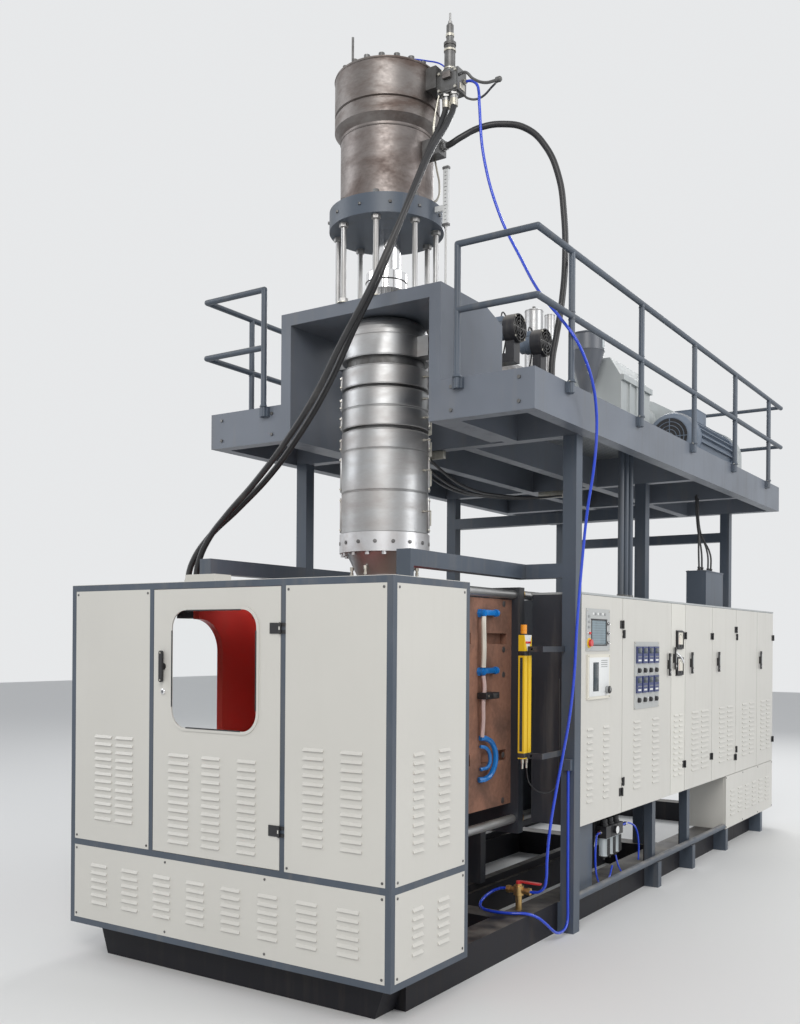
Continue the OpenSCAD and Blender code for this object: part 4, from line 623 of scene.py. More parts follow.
refinish("control_carcass", [
    ((0.6, 0.4, 1.8725), (1.0, 4.7, 1.8845), roof_grey),
    ((0.6, 0.495, 0.55), (0.96, 0.505, 1.8724), platen_black)])
refinish("guard_door", [
    ((0.30, -1.386, 0.68), (0.41, -1.3721, 0.85), black_plastic),
    ((0.30, -1.386, 1.57), (0.41, -1.3721, 1.74), black_plastic)])
refinish("light_curtain", [
    ((0.7, 0.0, 1.5595), (0.9, 0.3, 1.6401), cool_white),
    ((0.7, 0.0, 1.6402), (0.9, 0.3, 1.8), lamp_orange),
    ((0.837, 0.0, 0.9), (1.0, 0.5, 1.6), platen_black)])
refinish("operator_panels", [
    ((0.9865, 0.630, 1.590), (0.9905, 0.84, 1.732), screen_lit),
    ((0.9, 0.5, 1.27), (1.0, 0.9, 1.54), warm_white),
    ((0.9951, 0.63, 1.32), (1.0, 0.73, 1.50), display_dark),
    ((0.9951, 0.80, 1.30), (1.02, 0.87, 1.36), key_grey),
    ((0.9912, 0.85, 1.59), (1.0, 0.89, 1.73), black_plastic)])
refinish("heat_controllers", [
    ((0.9901, 1.2, 1.285), (1.0005, 1.8, 1.60), module_blue),
    ((0.9901, 1.2, 1.22), (1.01, 1.8, 1.2649), black_plastic),
    ((0.9901, 1.2, 1.41), (1.01, 1.8, 1.449), black_plastic)])
refinish("air_service_unit", [
    ((0.8, 0.9, 0.31), (1.0, 1.4, 0.4299), bowl_clear),
    ((0.8, 1.255, 0.45), (1.0, 1.45, 0.48), air_blue)])
refinish("tie_rods", [
    ((-0.4, -0.4, 3.9069), (0.4, 0.4, 4.0161), frame_blue),
    ((-0.4, -0.4, 4.0162), (0.4, 0.4, 4.1), dark_steel)])
refinish("cylinder_cap", [((-0.4, -0.4, 4.7621), (0.4, 0.4, 4.9), dark_steel)])
refinish("base_frame", [((0.7, 0.1, 0.17), (0.86, 0.2, 0.31), brass),
                        ((0.891, 0.3, -0.1), (1.0, 4.7, 0.6), frame_blue)])
refinish("position_scale", [((0.3, -0.1, 3.4), (0.5, 0.1, 3.8729), bright_bar)])
hinge_lines = {1: 1.103, 2: 1.117, 3: 2.263, 4: 2.878, 5: 3.498, 6: 3.512, 7: 4.633}
for number, y in hinge_lines.items():
    refinish(f"control_door_{number}", [
        ((0.9855, 0.4, 1.15), (1.02, 4.8, 1.84), black_plastic),
        ((0.9855, y - 0.045, 0.66), (1.02, y + 0.045, 0.80), black_plastic)])
refinish("head_body", [
    ((-0.5, -0.5, 3.1665), (0.5, 0.5, 3.6), heater_cover),
    ((-0.5, -0.5, 2.1), (0.5, 0.5, 3.1155), dark_steel)])
refinish("gearbox", [((-0.4, 4.1195, 2.9), (1.0, 4.3, 4.0), gear_grey)])

# Small parts


def disc(place, radius, height, axis, finish, sides=12):
    """A round head or, with six sides, a hexagon, which stands on a face."""
    return turned(place, [(radius, 0), (radius, height)], axis, finish, sides)


def screw(place, axis, finish, radius=0.006, height=0.003, sign=1):
    """A round screw head with a sloped rim."""
    return turned(place, [(radius, 0), (radius, sign * height * 0.6), (radius * 0.6, sign * height)], axis,
                  finish, 12)


def bolt(place, axis, finish, radius, height):
    """A hexagon head with its washer."""
    return [disc(place, radius * 1.35, height * 0.22, axis, finish, 20),
            turned(place, [(radius, height * 0.2), (radius, height * 0.9), (radius * 0.8, height)], axis,
                   finish, 6)]


def fitting(place, axis, finish, radius, length):
    """A pipe union: hexagon, thread and collar."""
    return [disc(place, radius * 1.25, length * 0.4, axis, finish, 6),
            turned(place, [(radius * 0.85, length * 0.35), (radius * 0.85, length * 0.7)], axis, finish,
                   16),
            turned(place, [(radius * 1.05, length * 0.65), (radius * 1.05, length)], axis, finish, 16)]


def ferrule(place):
    """The collar and sleeve that a pressure hose ends in."""
    return turned(place, [(0.027, 0), (0.027, 0.018), (0.0215, 0.020), (0.0215, 0.060)], "z", zinc, 24)


def grid(*spans):
    """Every place with its coordinates from the spans, where a number is a span of one."""
    return list(itertools.product(*[span if isinstance(span, (list, tuple)) else (span,)
                                    for span in spans]))


def circle(count, radius, first, centre, axis="z"):
    """Places spaced evenly round an axis, from the first angle in degrees."""
    across, up = {"y": (0, 2), "z": (0, 1)}[axis]
    places = []
    for i in range(count):
        turn = math.radians(first + 360 * i / count)
        place = list(centre)
        place[across] += radius * math.cos(turn)
        place[up] += radius * math.sin(turn)
        places.append(tuple(place))
    return places


def swung(part, turn):
    """The part turned about the head's axis by an angle in degrees."""
    part.data.transform(Matrix.Rotation(math.radians(turn), 4, "Z"))
    return part


# Guard: panel screws, door lock and window rim

GUARD_Y = -1.372
SIDE_X = 0.985
BEAD_Y = GUARD_Y - 0.0062
piece("guard_screws", "machine", [
    [screw(p, "y", dark_steel, sign=-1)
     for p in grid((-0.94, -0.438, 0.436, 0.94), GUARD_Y, (0.61, 1.825))
     + grid((-0.94, -0.31, 0.31, 0.94), GUARD_Y, (0.215, 0.545))],
    [screw(p, "x", dark_steel, sign=side) for side in (1, -1)
     for p in grid(side * SIDE_X, (-1.325, -0.793), (0.215, 0.545, 0.61, 1.825))]])
piece("guard_lock", "guard_door", [
    turned((-0.328, GUARD_Y, 1.355), [(0.014, 0), (0.014, -0.006), (0.010, -0.009)], "y", chromed, 24),
    # The black slit is the keyhole: painted shade in the key slot
    block((-0.328, GUARD_Y - 0.010, 1.355), (0.0025, 0.003, 0.011), black_plastic, 0)])
piece("window_bead", "guard_door", [
    [block((-0.006, BEAD_Y, z), (0.34, 0.003, 0.006), black_plastic, 0.001) for z in (1.1915, 1.7385)],
    [block((x, BEAD_Y, 1.465), (0.006, 0.003, 0.36), black_plastic, 0.001) for x in (-0.2685, 0.2545)]])
piece("guard_handle_screws", "guard_handle", [
    disc((-0.328, GUARD_Y - 0.0235, z), 0.0045, -0.002, "y", zinc) for z in (1.41, 1.54)])

# Base: bolts, and the nuts and lever sleeve of the floor valve

piece("base_bolts", "machine", [
    bolt(p, "z", dark_steel, 0.014, 0.012) for p in grid((-0.70, 0.70), (-1.15, -1.02, 4.42), 0.165)])
piece("floor_valve_nuts", "machine", [
    [turned((x, 0.145, 0.270), [(0.021, -0.010), (0.021, 0.010)], "x", brass, 6) for x in (0.73, 0.85)],
    disc((0.79, 0.145, 0.296), 0.013, 0.012, "z", brass, 6)])
piece("valve_lever_sleeve", "valve_handle", [
    block((0.868, 0.145, 0.3173), (0.088, 0.027, 0.0105), valve_red, 0.003)])

# Operator's door

FACE = 0.985
PLATE = FACE + 0.006
RIM = FACE + 0.0072
DIAL = FACE + 0.0118
METER_Y = 2.135
KEY = FACE + 0.0075
piece("screen_frame", "control_door_1", [
    [block((RIM, 0.735, z), (0.0035, 0.232, 0.007), black_plastic, 0.001) for z in (1.5875, 1.734)],
    [block((RIM, y, 1.661), (0.0035, 0.007, 0.153), black_plastic, 0.001) for y in (0.6275, 0.8425)],
    [screw(p, "x", zinc, 0.0045) for p in grid(PLATE, (0.572, 0.883), (1.567, 1.783))]])
piece("screen_keys", "control_door_1", [
    [block((KEY, 0.650 + 0.034 * i, 1.766), (0.003, 0.022, 0.014), key_grey if i % 2 else cool_white,
           0.0015)
     for i in range(6)],
    [block((KEY, 0.592, 1.690 + 0.03 * i), (0.003, 0.024, 0.014), key_grey, 0.0015) for i in range(3)]])
piece("stop_collar", "control_door_1", [
    turned((PLATE, 0.594, 1.600), [(0.028, 0), (0.028, 0.0035), (0.024, 0.0042)], "x", curtain_yellow, 36)])
piece("operator_lamps", "control_door_1", [
    disc((PLATE, 0.594, 1.655), 0.011, 0.004, "x", chromed, 24),
    turned((FACE + 0.010, 0.594, 1.655), [(0.008, 0), (0.008, 0.006), (0.004, 0.009)], "x", stop_red, 24),
    [ring((FACE + 0.0145, 0.868, 1.602 + 0.055 * i), 0.0095, 0.0015, "x", chromed, 24, 8)
     for i in range(3)]])
piece("recorder_face", "control_door_1", [
    block((FACE + 0.0112, 0.732, 1.407), (0.0025, 0.284, 0.221), cool_white, 0.002),
    block((FACE + 0.0139, 0.680, 1.4075), (0.003, 0.062, 0.147), display_dark, 0.001),
    turned((FACE + 0.030, 0.835, 1.330), [(0.022, 0), (0.022, 0.004), (0.017, 0.008)], "x", black_plastic,
           32),
    block((FACE + 0.0385, 0.835, 1.336), (0.002, 0.003, 0.022), cool_white, 0),
    [screw(p, "x", zinc, 0.005) for p in grid(FACE + 0.010, (0.583, 0.881), (1.290, 1.525))],
    [block((FACE + 0.0128, 0.80, 1.50 - 0.012 * i), (0.0012, 0.09, 0.004), key_grey, 0) for i in range(4)]])

# Temperature controllers: display, keys and a knob with its pointer for each zone (y, height of its row)

zones = [(1.362 + 0.102 * i, 0.185 * row) for row in (0, 1) for i in range(4)]
piece("controller_faces", "control_door_2", [
    [block((1.0008, y, 1.3685 + up), (0.0025, 0.062, 0.034), display_dark, 0.001),
     block((1.0006, y, 1.3085 + up), (0.0016, 0.05, 0.011), cool_white, 0),
     [block((1.0009, y - 0.022 + 0.0147 * k, 1.3305 + up), (0.0025, 0.009, 0.007), key_grey, 0.0008)
      for k in range(4)]]
    for y, up in zones])
piece("controller_knobs", "control_door_2", [
    [ring((PLATE, y, 1.245 + up), 0.019, 0.0018, "x", chromed, 24, 6),
     block((FACE + 0.0218, y, 1.251 + up), (0.0014, 0.0026, 0.015), cool_white, 0),
     turned((FACE + 0.021, y, 1.245 + up), [(0.0135, 0), (0.0105, 0.003)], "x", black_plastic, 24)]
    for y, up in zones])
piece("controller_screws", "control_door_2", [
    screw(p, "x", zinc, 0.0045) for p in grid(0.990, (1.308, 1.722), (1.198, 1.40, 1.602))])

# Ammeters and the popped handle on the narrow door


def meter(z):
    """A square ammeter: rim, scale with its marks, needle and screw."""
    rim = block((FACE + 0.010, METER_Y, z), (0.012, 0.122, 0.122), black_plastic, 0.002)
    marks = [block((FACE + 0.0128, METER_Y + 0.044 * math.sin(turn), z - 0.018 + 0.055 * math.cos(turn)),
                   (0.0008, 0.0018, 0.007), black_plastic, 0)
             for turn in (math.radians(-48 + 12 * k) for k in range(9))]
    return [sink_face(rim, (1, 0, 0), 0.007, -0.004), marks,
            block((DIAL, METER_Y, z + 0.010), (0.0016, 0.098, 0.082), warm_white, 0),
            block((FACE + 0.0130, 2.118, z - 0.004), (0.0008, 0.0014, 0.05), stop_red, 0),
            turned((DIAL, METER_Y, z - 0.042), [(0.007, 0), (0.006, 0.004)], "x", black_plastic, 20)]


LOCK = FACE + 0.022
piece("meters", "control_door_3", [
    meter(1.445), meter(1.625)])
piece("popped_handle", "control_door_3", [
    disc((LOCK, 2.025, 1.537), 0.009, 0.006, "x", chromed, 20),
    pipe([(FACE + 0.026, 2.025, 1.535), (FACE + 0.055, 2.022, 1.508), (FACE + 0.078, 2.012, 1.470)], 0.013,
         chromed)])

# Door locks and panel screws of the control row

for number, y, z in ((2, 1.915, 1.46), (3, 2.025, 1.50), (4, 2.380, 1.465), (5, 3.010, 1.465),
                     (7, 4.195, 1.465)):
    piece(f"door_lock_{number}", f"control_door_{number}", [
        disc((LOCK, y, z - 0.052), 0.0085, 0.002, "x", chromed, 20),
        # The black slit is the keyhole: painted shade in the key slot
        block((FACE + 0.0245, y, z - 0.052), (0.001, 0.0018, 0.008), black_plastic, 0),
        block((FACE + 0.0222, y, z + 0.012), (0.0016, 0.015, 0.082), key_grey, 0.0006)])
piece("lower_cabinet_screws", "machine", [
    screw(p, "x", dark_steel) for p in grid(SIDE_X, (3.27, 3.72, 4.17, 4.625), (0.182, 0.562))])

# Roof of the control row: junction box, glands and cables

gland_ys = (3.02, 3.09, 3.24, 3.31)
piece("junction_lid", "machine", [
    block((0.839, 3.165, 2.1495), (0.158, 0.436, 0.011), frame_blue, 0.003),
    [screw(p, "z", zinc, 0.005) for p in grid((0.775, 0.903), (2.96, 3.37), 2.155)],
    [fitting((0.839, y, 2.155), "z", black_plastic, 0.012, 0.032) for y in gland_ys]])
piece("junction_cables", "machine", [
    pipe([(0.839, y, 2.17), (0.835, y, 2.30), (0.82 - 0.03 * i, y + 0.04, 2.50),
          (0.80 - 0.03 * i, y + 0.05, 2.745)],
         0.014, hose_rubber, 8) for i, y in enumerate(gland_ys)])
piece("conduit_collars", "machine", [
    turned((0.814, y, 1.884), [(0.028, 0), (0.028, 0.01), (0.0235, 0.014), (0.0235, 0.03)], "z", dark_steel,
           24)
    for y in (1.5, 1.58, 1.66)])

# Head: band clamps, terminal boxes and probes, and the bolts of its flange and lugs

RADIUS = 0.245
bands = ((2.200, 2.428), (2.430, 2.656), (2.658, 2.764), (2.783, 2.889), (2.891, 2.991), (3.008, 3.116))
bead_zs = (2.204, 2.424, 2.434, 2.652, 2.662, 2.760, 2.787, 2.885, 2.895, 2.987, 3.012, 3.112, 3.170, 3.284)


def band_clamp(low, high, turn):
    """The strap over the gap of a heater band, with its two pins."""
    strap = block((RADIUS + 0.005, 0, (low + high) / 2), (0.010, 0.034, high - low - 0.03), heater_cover,
                  0.002)
    pins = [disc((RADIUS + 0.008, -0.03, z), 0.0045, 0.06, "y", zinc, 8) for z in (low + 0.03, high - 0.03)]
    return [swung(part, turn) for part in (strap, *pins)]


piece("band_clamps", "machine", [
    band_clamp(low, high, turn) for low, high in bands for turn in (-152, 28)])
piece("band_terminals", "machine", [
    swung(block((RADIUS + 0.020, 0, (low + high) / 2), (0.044, 0.07, min(0.09, high - low - 0.02)),
                warm_white, 0.004), 62) for low, high in bands])
piece("band_probes", "machine", [
    swung(turned((RADIUS - 0.004, 0, (low + high) / 2 + 0.01),
                 [(0.0075, 0), (0.0075, 0.016), (0.004, 0.018), (0.004, 0.05)], "x", zinc, 12), 5)
    for low, high in bands])
# Dark steel discs stand in for the holes in the copper ring: painted shade of the holes
piece("ring_holes", "machine", [
    swung(turned((0.2195, 0, 3.141), [(0.0115, 0), (0.0115, 0.0014), (0.0085, 0.0016)], "x", dark_steel,
                 16),
          -165 + 30 * i) for i in range(12)])
piece("band_beads", "machine", [
    ring((0, 0, z), RADIUS - 0.0005, 0.0022, "z", heater_cover, 72, 6) for z in bead_zs])
piece("flange_plugs", "machine", [
    swung(turned((0.2552, 0, 2.147), [(0.011, 0), (0.011, 0.003), (0.007, 0.0035)], "x", dark_steel, 12),
          22.5 * i)
    for i in range(16)])
piece("die_screws", "machine", [
    fitting(p, "z", zinc, 0.009, -0.05) for p in circle(6, 0.185, -150, (0, 0, 2.02))])
piece("lug_bolts", "machine", [
    disc((side * 0.310, y, z), 0.012, side * 0.014, "x", dark_steel, 6)
    for side, y, z in grid((-1, 1), (-0.028, 0.028), (3.19, 3.26))])

# Tie rods: collars and nuts, and the coupling on the ram

piece("tie_nuts", "machine", [
    [disc((x, y, z), 0.034, 0.005, "z", zinc, 28),
     turned((x, y, 3.470), [(0.026, 0), (0.026, 0.022), (0.022, 0.025)], "z", bright_bar, 6),
     turned((x, y, 3.882), [(0.022, 0), (0.026, 0.003), (0.026, 0.025)], "z", bright_bar, 6)]
    for x, y, z in circle(8, 0.2825, 22.5, (0, 0, 3.465))])
piece("ram_coupling_bolts", "ram", [
    [turned(p, [(0.010, 0), (0.010, 0.010), (0.007, 0.011)], "z", dark_steel, 12)
     for p in circle(8, 0.098, 22.5, (0, 0, 3.675))],
    ring((0, 0, 3.625), 0.1152, 0.004, "z", dark_steel, 60, 6)])
piece("plate_plugs", "machine", [
    disc(p, 0.009, 0.012, "z", dark_steel) for p in circle(12, 0.3245, 7.5, (0, 0, 3.9555))])

# Push cylinder and its cap

CAP_Z = 4.762
piece("cylinder_seams", "machine", [
    ring((0, 0, 4.030), 0.2632, 0.005, "z", turned_brown, 72, 8),
    ring((0, 0, 4.409), 0.2632, 0.004, "z", turned_brown, 72, 8),
    ring((0, 0, 4.752), 0.2972, 0.004, "z", cap_brown, 72, 8)])
piece("cap_bolt_sockets", "machine", [
    [turned((x, y, 4.788), [(0.0105, 0), (0.0095, -0.008)], "z", black_plastic, 6),
     disc((x, y, z), 0.021, 0.003, "z", dark_steel, 20)]
    for x, y, z in circle(20, 0.2655, 9, (0, 0, CAP_Z))])
piece("cap_ports", "machine", [
    fitting((0.05, -0.09, CAP_Z), "z", zinc, 0.020, 0.055),
    fitting((-0.10, 0.06, CAP_Z), "z", zinc, 0.016, 0.045),
    fitting((-0.247, 0.0, CAP_Z), "z", dark_steel, 0.012, 0.03),
    turned((0, 0, CAP_Z), [(0.075, 0), (0.075, 0.012), (0.06, 0.018), (0.06, 0.034), (0.03, 0.036)], "z",
           dark_steel, 40)])
piece("cap_air_line", "machine", [
    pipe([(0.05, -0.09, 4.81), (0.06, -0.07, 4.845), (0.13, -0.02, 4.855), (0.24, 0.03, 4.835),
          (0.335, 0.045, 4.79), (0.385, 0.050, 4.72)], 0.009, air_blue, 8)])

# Valve and ports on the cylinder's side

PILOT_X = 0.4095
valve_xs = (0.400, 0.450)
plate = block((0.4225, -0.0462, 4.637), (0.11, 0.004, 0.104), dark_steel, 0.0015)
piece("valve_block_fittings", "machine", [
    sink_face(plate, (0, -1, 0), 0.012, -0.0015),
    block((0.4225, -0.056, 4.665), (0.05, 0.018, 0.036), flange_steel, 0.003),
    block((0.4885, 0.0, 4.605), (0.006, 0.05, 0.034), zinc, 0.002),
    [disc(p, 0.0075, -0.008, "y", zinc) for p in grid((0.372, 0.473), -0.0475, (4.592, 4.684))],
    [fitting((x, -0.020, 4.575), "z", bright_bar, 0.0215, -0.032) for x in valve_xs],
    fitting((0.4875, 0.020, 4.640), "x", zinc, 0.0115, 0.018)])
piece("pilot_valve_bands", "machine", [
    [turned((PILOT_X, 0, 4.700), [(radius, low), (radius, high)], "z", zinc, sides)
     for radius, low, high, sides in ((0.033, 0.020, 0.026, 32), (0.0335, 0.118, 0.128, 32),
                                      (0.023, 0.200, 0.214, 24))],
    turned((PILOT_X, 0, 4.700), [(0.012, 0.27), (0.012, 0.285), (0.006, 0.287), (0.006, 0.33)], "z",
           bright_bar, 16),
    [disc(p, 0.0065, 0.011, "z", zinc) for p in grid((0.3795, 0.4395), (-0.030, 0.030), 4.700)]])
piece("valve_side_pipes", "machine", [
    pipe([(0.480, -0.030, 4.66), (0.530, -0.040, 4.655), (0.585, -0.050, 4.60), (0.66, -0.055, 4.555),
          (0.74, -0.06, 4.545)], 0.016, dark_steel, 8),
    pipe([(0.470, 0.030, 4.59), (0.500, 0.045, 4.56), (0.560, 0.060, 4.55), (0.66, 0.030, 4.575),
          (0.735, -0.045, 4.553)], 0.012, dark_steel, 8),
    turned((0.735, -0.058, 4.547), [(0.015, -0.006), (0.015, 0.018), (0.010, 0.024)], "x", dark_steel, 12)])
piece("side_port_fittings", "machine", [
    fitting((0.367, 0, 4.311), "x", bright_bar, 0.0215, 0.030),
    pipe([(0.33, -0.03, 4.355), (0.335, -0.045, 4.40), (0.348, -0.045, 4.48), (0.366, -0.040, 4.575)],
         0.012, zinc, 8),
    pipe([(0.30, 0.030, 4.266), (0.312, 0.035, 4.20), (0.330, 0.030, 4.12), (0.322, 0.02, 4.04),
          (0.300, 0.01, 4.025)],
         0.012, zinc, 8),
    fitting((0.33, -0.03, 4.356), "z", zinc, 0.011, 0.022)])

# Ferrules where the hoses end

piece("hose_ferrules", "machine", [
    [ferrule((x, -0.700, 1.874)) for x in (-0.840, -0.780)],
    [disc((x, -0.020, 4.543), 0.0215, -0.040, "z", zinc, 24) for x in valve_xs],
    turned((0.960, 0.150, 2.953), [(0.028, 0), (0.028, 0.015), (0.0215, 0.017), (0.0215, 0.055)], "z", zinc,
           24)])

# Position scale: marks, clips and the small bracket

SCALE_X = 0.392
piece("scale_marks", "machine", [
    [block((SCALE_X, -0.0083, 3.885 + 0.02 * i), (0.020 if i % 5 == 0 else 0.011, 0.0012, 0.0022),
           black_plastic, 0)
     for i in range(15)],
    [block((SCALE_X, 0, z), (0.040, 0.022, 0.014), dark_steel, 0.002) for z in (3.88, 4.19)],
    turned((SCALE_X, 0, 3.466), [(0.016, 0), (0.016, 0.010), (0.009, 0.012), (0.009, 0.03)], "z", zinc,
           20)])

# Platform: the feet and welds of the railings, deck screws and beam bolts

rail_xs = (-1.096, 1.096)
FOOT_Z = 2.948
post_ys = (0.100, 1.098, 2.088, 3.045, 4.009)
foot_profile = [(0.024, 0), (0.0185, 0.014)]
piece("railing_feet", "machine", [
    [screw((x, y + d, FOOT_Z), "z", zinc, 0.005, 0.004)
     for x, y, d in grid(rail_xs, post_ys, (-0.026, 0.026))],
    [turned(p, foot_profile, "z", frame_blue, 24) for p in grid(rail_xs, post_ys, FOOT_Z)],
    [turned(p, foot_profile, "z", frame_blue, 24) for p in grid((-0.646, 0.646), -0.302, FOOT_Z)]])
piece("railing_welds", "machine", [
    ring(p, 0.0175, 0.0022, "z", frame_blue, 28, 6)
    for p in grid(rail_xs, post_ys[1:], 3.603) + grid(rail_xs, post_ys, (3.272, 3.310))])
piece("deck_screws", "machine", [
    screw(p, "z", zinc, 0.008, 0.003)
    for p in grid((-0.93, -0.31, 0.31, 0.93), (0.56, 1.2, 1.9, 2.6, 3.3, 3.9, 4.33), 2.953)])
piece("beam_bolts", "machine", [
    disc(p, 0.010, -0.007, "y", dark_steel, 6)
    for p in grid((-0.99, -0.60, 0.60, 0.99), -0.281, (2.79, 2.91))])

# Blowers: grille, motor with its terminal box, and lead

GRILLE_X = 0.3425
BLOWER_Z = 3.575
for number, y in ((1, 0.99), (2, 1.37)):
    piece(f"blower_grille_{number}", "machine", [
        [ring((GRILLE_X, y, BLOWER_Z), r, 0.0022, "x", dark_steel, 40, 6)
         for r in (0.086, 0.066, 0.046, 0.026)],
        block((GRILLE_X, y, BLOWER_Z), (0.003, 0.172, 0.005), dark_steel, 0),
        block((GRILLE_X, y, BLOWER_Z), (0.003, 0.005, 0.172), dark_steel, 0),
        [disc(p, 0.007, 0.004, "x", zinc, 10)
         for p in grid(0.340, (y - 0.061, y + 0.061), (3.514, 3.636))]])
    piece(f"blower_motor_{number}", "machine", [
        turned((0.260, y, BLOWER_Z), [(0.058, 0), (0.058, -0.06), (0.052, -0.066), (0.052, -0.10),
                                      (0.030, -0.106)], "x",
               motor_blue, 32),
        block((0.205, y, 3.645), (0.06, 0.06, 0.034), motor_blue, 0.004),
        [disc((0.26 - 0.014 * k, y, BLOWER_Z), 0.061, -0.004, "x", motor_blue, 32) for k in range(1, 5)]])
    piece(f"blower_lead_{number}", "machine", [
        pipe([(0.205, y, 3.66), (0.205, y + 0.02, 3.70), (0.19, y + 0.10, 3.68), (0.15, y + 0.17, 3.57),
              (0.120, y + 0.19, 3.475)], 0.010, hose_rubber, 8)])

# Extruder: bands over the barrel's cover, clamps, zone boxes and the feed throat's bolts

AXIS_Z = 3.36
BAND_END = 0.0119998    # keeps the last band out of the plane of the end of the cover
zone_ys = (0.69, 1.13, 1.64, 2.06)
piece("barrel_bands", "machine", [
    [turned((0, y, AXIS_Z), [(0.1515, -0.012), (0.1515, BAND_END)], "y", heater_cover, 56)
     for y in (0.512, 0.86, 1.21, 1.55, 1.89, 2.238)],
    [turned((0, y, AXIS_Z), [(0.1508, -0.003), (0.1508, 0.003)], "y", dark_steel, 56)
     for y in (1.035, 1.725)]])
piece("zone_boxes", "machine", [
    [block((0.135, y, 3.275), (0.05, 0.10, 0.06), warm_white, 0.004) for y in zone_ys],
    [disc((0.16, y, 3.275), 0.009, 0.02, "x", black_plastic) for y in zone_ys]])
piece("barrel_bolts", "machine", [
    [disc((0, y - 0.02, AXIS_Z), 0.083, 0.04, "y", zinc, 36) for y in (2.30, 2.46)],
    [disc(p, 0.011, -0.012, "y", dark_steel, 6) for p in grid((-0.098, 0.098), 2.650, (3.26, 3.46))],
    [disc(p, 0.009, -0.012, "y", dark_steel, 6) for p in circle(6, 0.105, 30, (0, 0.420, AXIS_Z), "y")]])
piece("stack_beads", "machine", [
    [ring((0, 1.87, z), 0.0652, 0.002, "z", heater_cover, 40, 6) for z in (3.54, 3.80, 3.965)],
    [ring((0, 2.13, z), 0.0382, 0.0016, "z", heater_cover, 32, 6) for z in (3.54, 3.85, 4.003)],
    turned((0, 1.87, 3.972), [(0.040, 0), (0.040, 0.004), (0.012, 0.006), (0.012, 0.03)], "z", dark_steel,
           24)])
HOPPER_Y = 2.805
piece("hopper_rim", "machine", [
    ring((0, HOPPER_Y, 4.018), 0.1405, 0.004, "z", hopper_paint, 56, 8),
    ring((0, HOPPER_Y, 3.892), 0.1395, 0.002, "z", hopper_paint, 56, 6),
    [disc(p, 0.008, 0.009, "z", zinc, 6) for p in circle(8, 0.076, 22.5, (0, HOPPER_Y, 3.504))],
    block((0.1375, HOPPER_Y, 3.955), (0.006, 0.030, 0.090), bowl_clear, 0.002)])

# Gearbox, belt guard and drive motor

MOTOR_X = 0.6
MOTOR_Z = 3.203
belt_spots = ((-0.13, 3.00), (-0.13, 3.55), (0.10, 3.00), (0.40, 3.00), (0.72, 3.00), (0.72, 3.36),
              (0.34, 3.54))
piece("gearbox_bolts", "machine", [
    [bolt(p, "z", dark_steel, 0.009, 0.010)
     for p in grid((-0.238, 0.238), (3.02, 3.12, 3.41, 3.54), 3.382)],
    [screw(p, "z", dark_steel, 0.009, 0.006) for p in grid((-0.238, 0.238), 3.26, 3.382)],
    [disc(p, 0.008, 0.009, "y", dark_steel, 6) for p in circle(6, 0.125, 30, (0, 3.640, 3.593), "y")],
    turned((0.225, 3.20, 3.12), [(0.020, 0), (0.020, 0.010), (0.013, 0.012), (0.013, 0.02)], "x", brass, 6),
    disc((0.225, 3.48, 3.30), 0.024, 0.008, "x", chromed, 28),
    disc((0.233, 3.48, 3.30), 0.019, 0.001, "x", bowl_clear, 28)])
piece("belt_guard_slots", "machine", [
    [screw((x, 4.250, z), "y", zinc, 0.010, 0.005) for x, z in belt_spots],
    # Black strips stand in for the guard's slots: painted shade inside the openings
    [block((0.60, 4.2515, 3.10 + 0.032 * row), (0.20, 0.004, 0.010), black_plastic, 0.001)
     for row in range(7)]])
piece("motor_cowl", "machine", [
    # The black disc behind the grille is painted shade inside the cowl
    disc((MOTOR_X, 3.020, MOTOR_Z), 0.148, -0.0015, "y", black_plastic, 40),
    [ring((MOTOR_X, 3.0175, MOTOR_Z), r, 0.003, "y", motor_blue, 44, 6)
     for r in (0.145, 0.115, 0.085, 0.055, 0.028)],
    block((MOTOR_X, 3.0175, MOTOR_Z), (0.29, 0.005, 0.006), motor_blue, 0),
    block((MOTOR_X, 3.0175, MOTOR_Z), (0.006, 0.005, 0.29), motor_blue, 0),
    block((MOTOR_X, 3.52, 3.4775), (0.184, 0.244, 0.009), motor_blue, 0.003),
    [screw(p, "z", zinc, 0.006) for p in grid((0.525, 0.675), (3.415, 3.625), 3.482)],
    ring((MOTOR_X, 3.182, MOTOR_Z), 0.200, 0.003, "y", motor_blue, 60, 6)])
piece("motor_bolts", "machine", [
    [bolt(p, "z", zinc, 0.012, 0.012) for p in grid((0.44, 0.76), (3.28, 3.82), 3.0935)],
    fitting((0.51, 3.45, 3.42), "x", black_plastic, 0.014, -0.035)])
piece("motor_lead", "machine", [
    pipe([(0.475, 3.45, 3.42), (0.40, 3.47, 3.38), (0.335, 3.50, 3.22), (0.33, 3.55, 3.05),
          (0.33, 3.57, 2.953)],
         0.020, hose_rubber, 10)])

# Mould: cooling connections and clamping on the operator's side

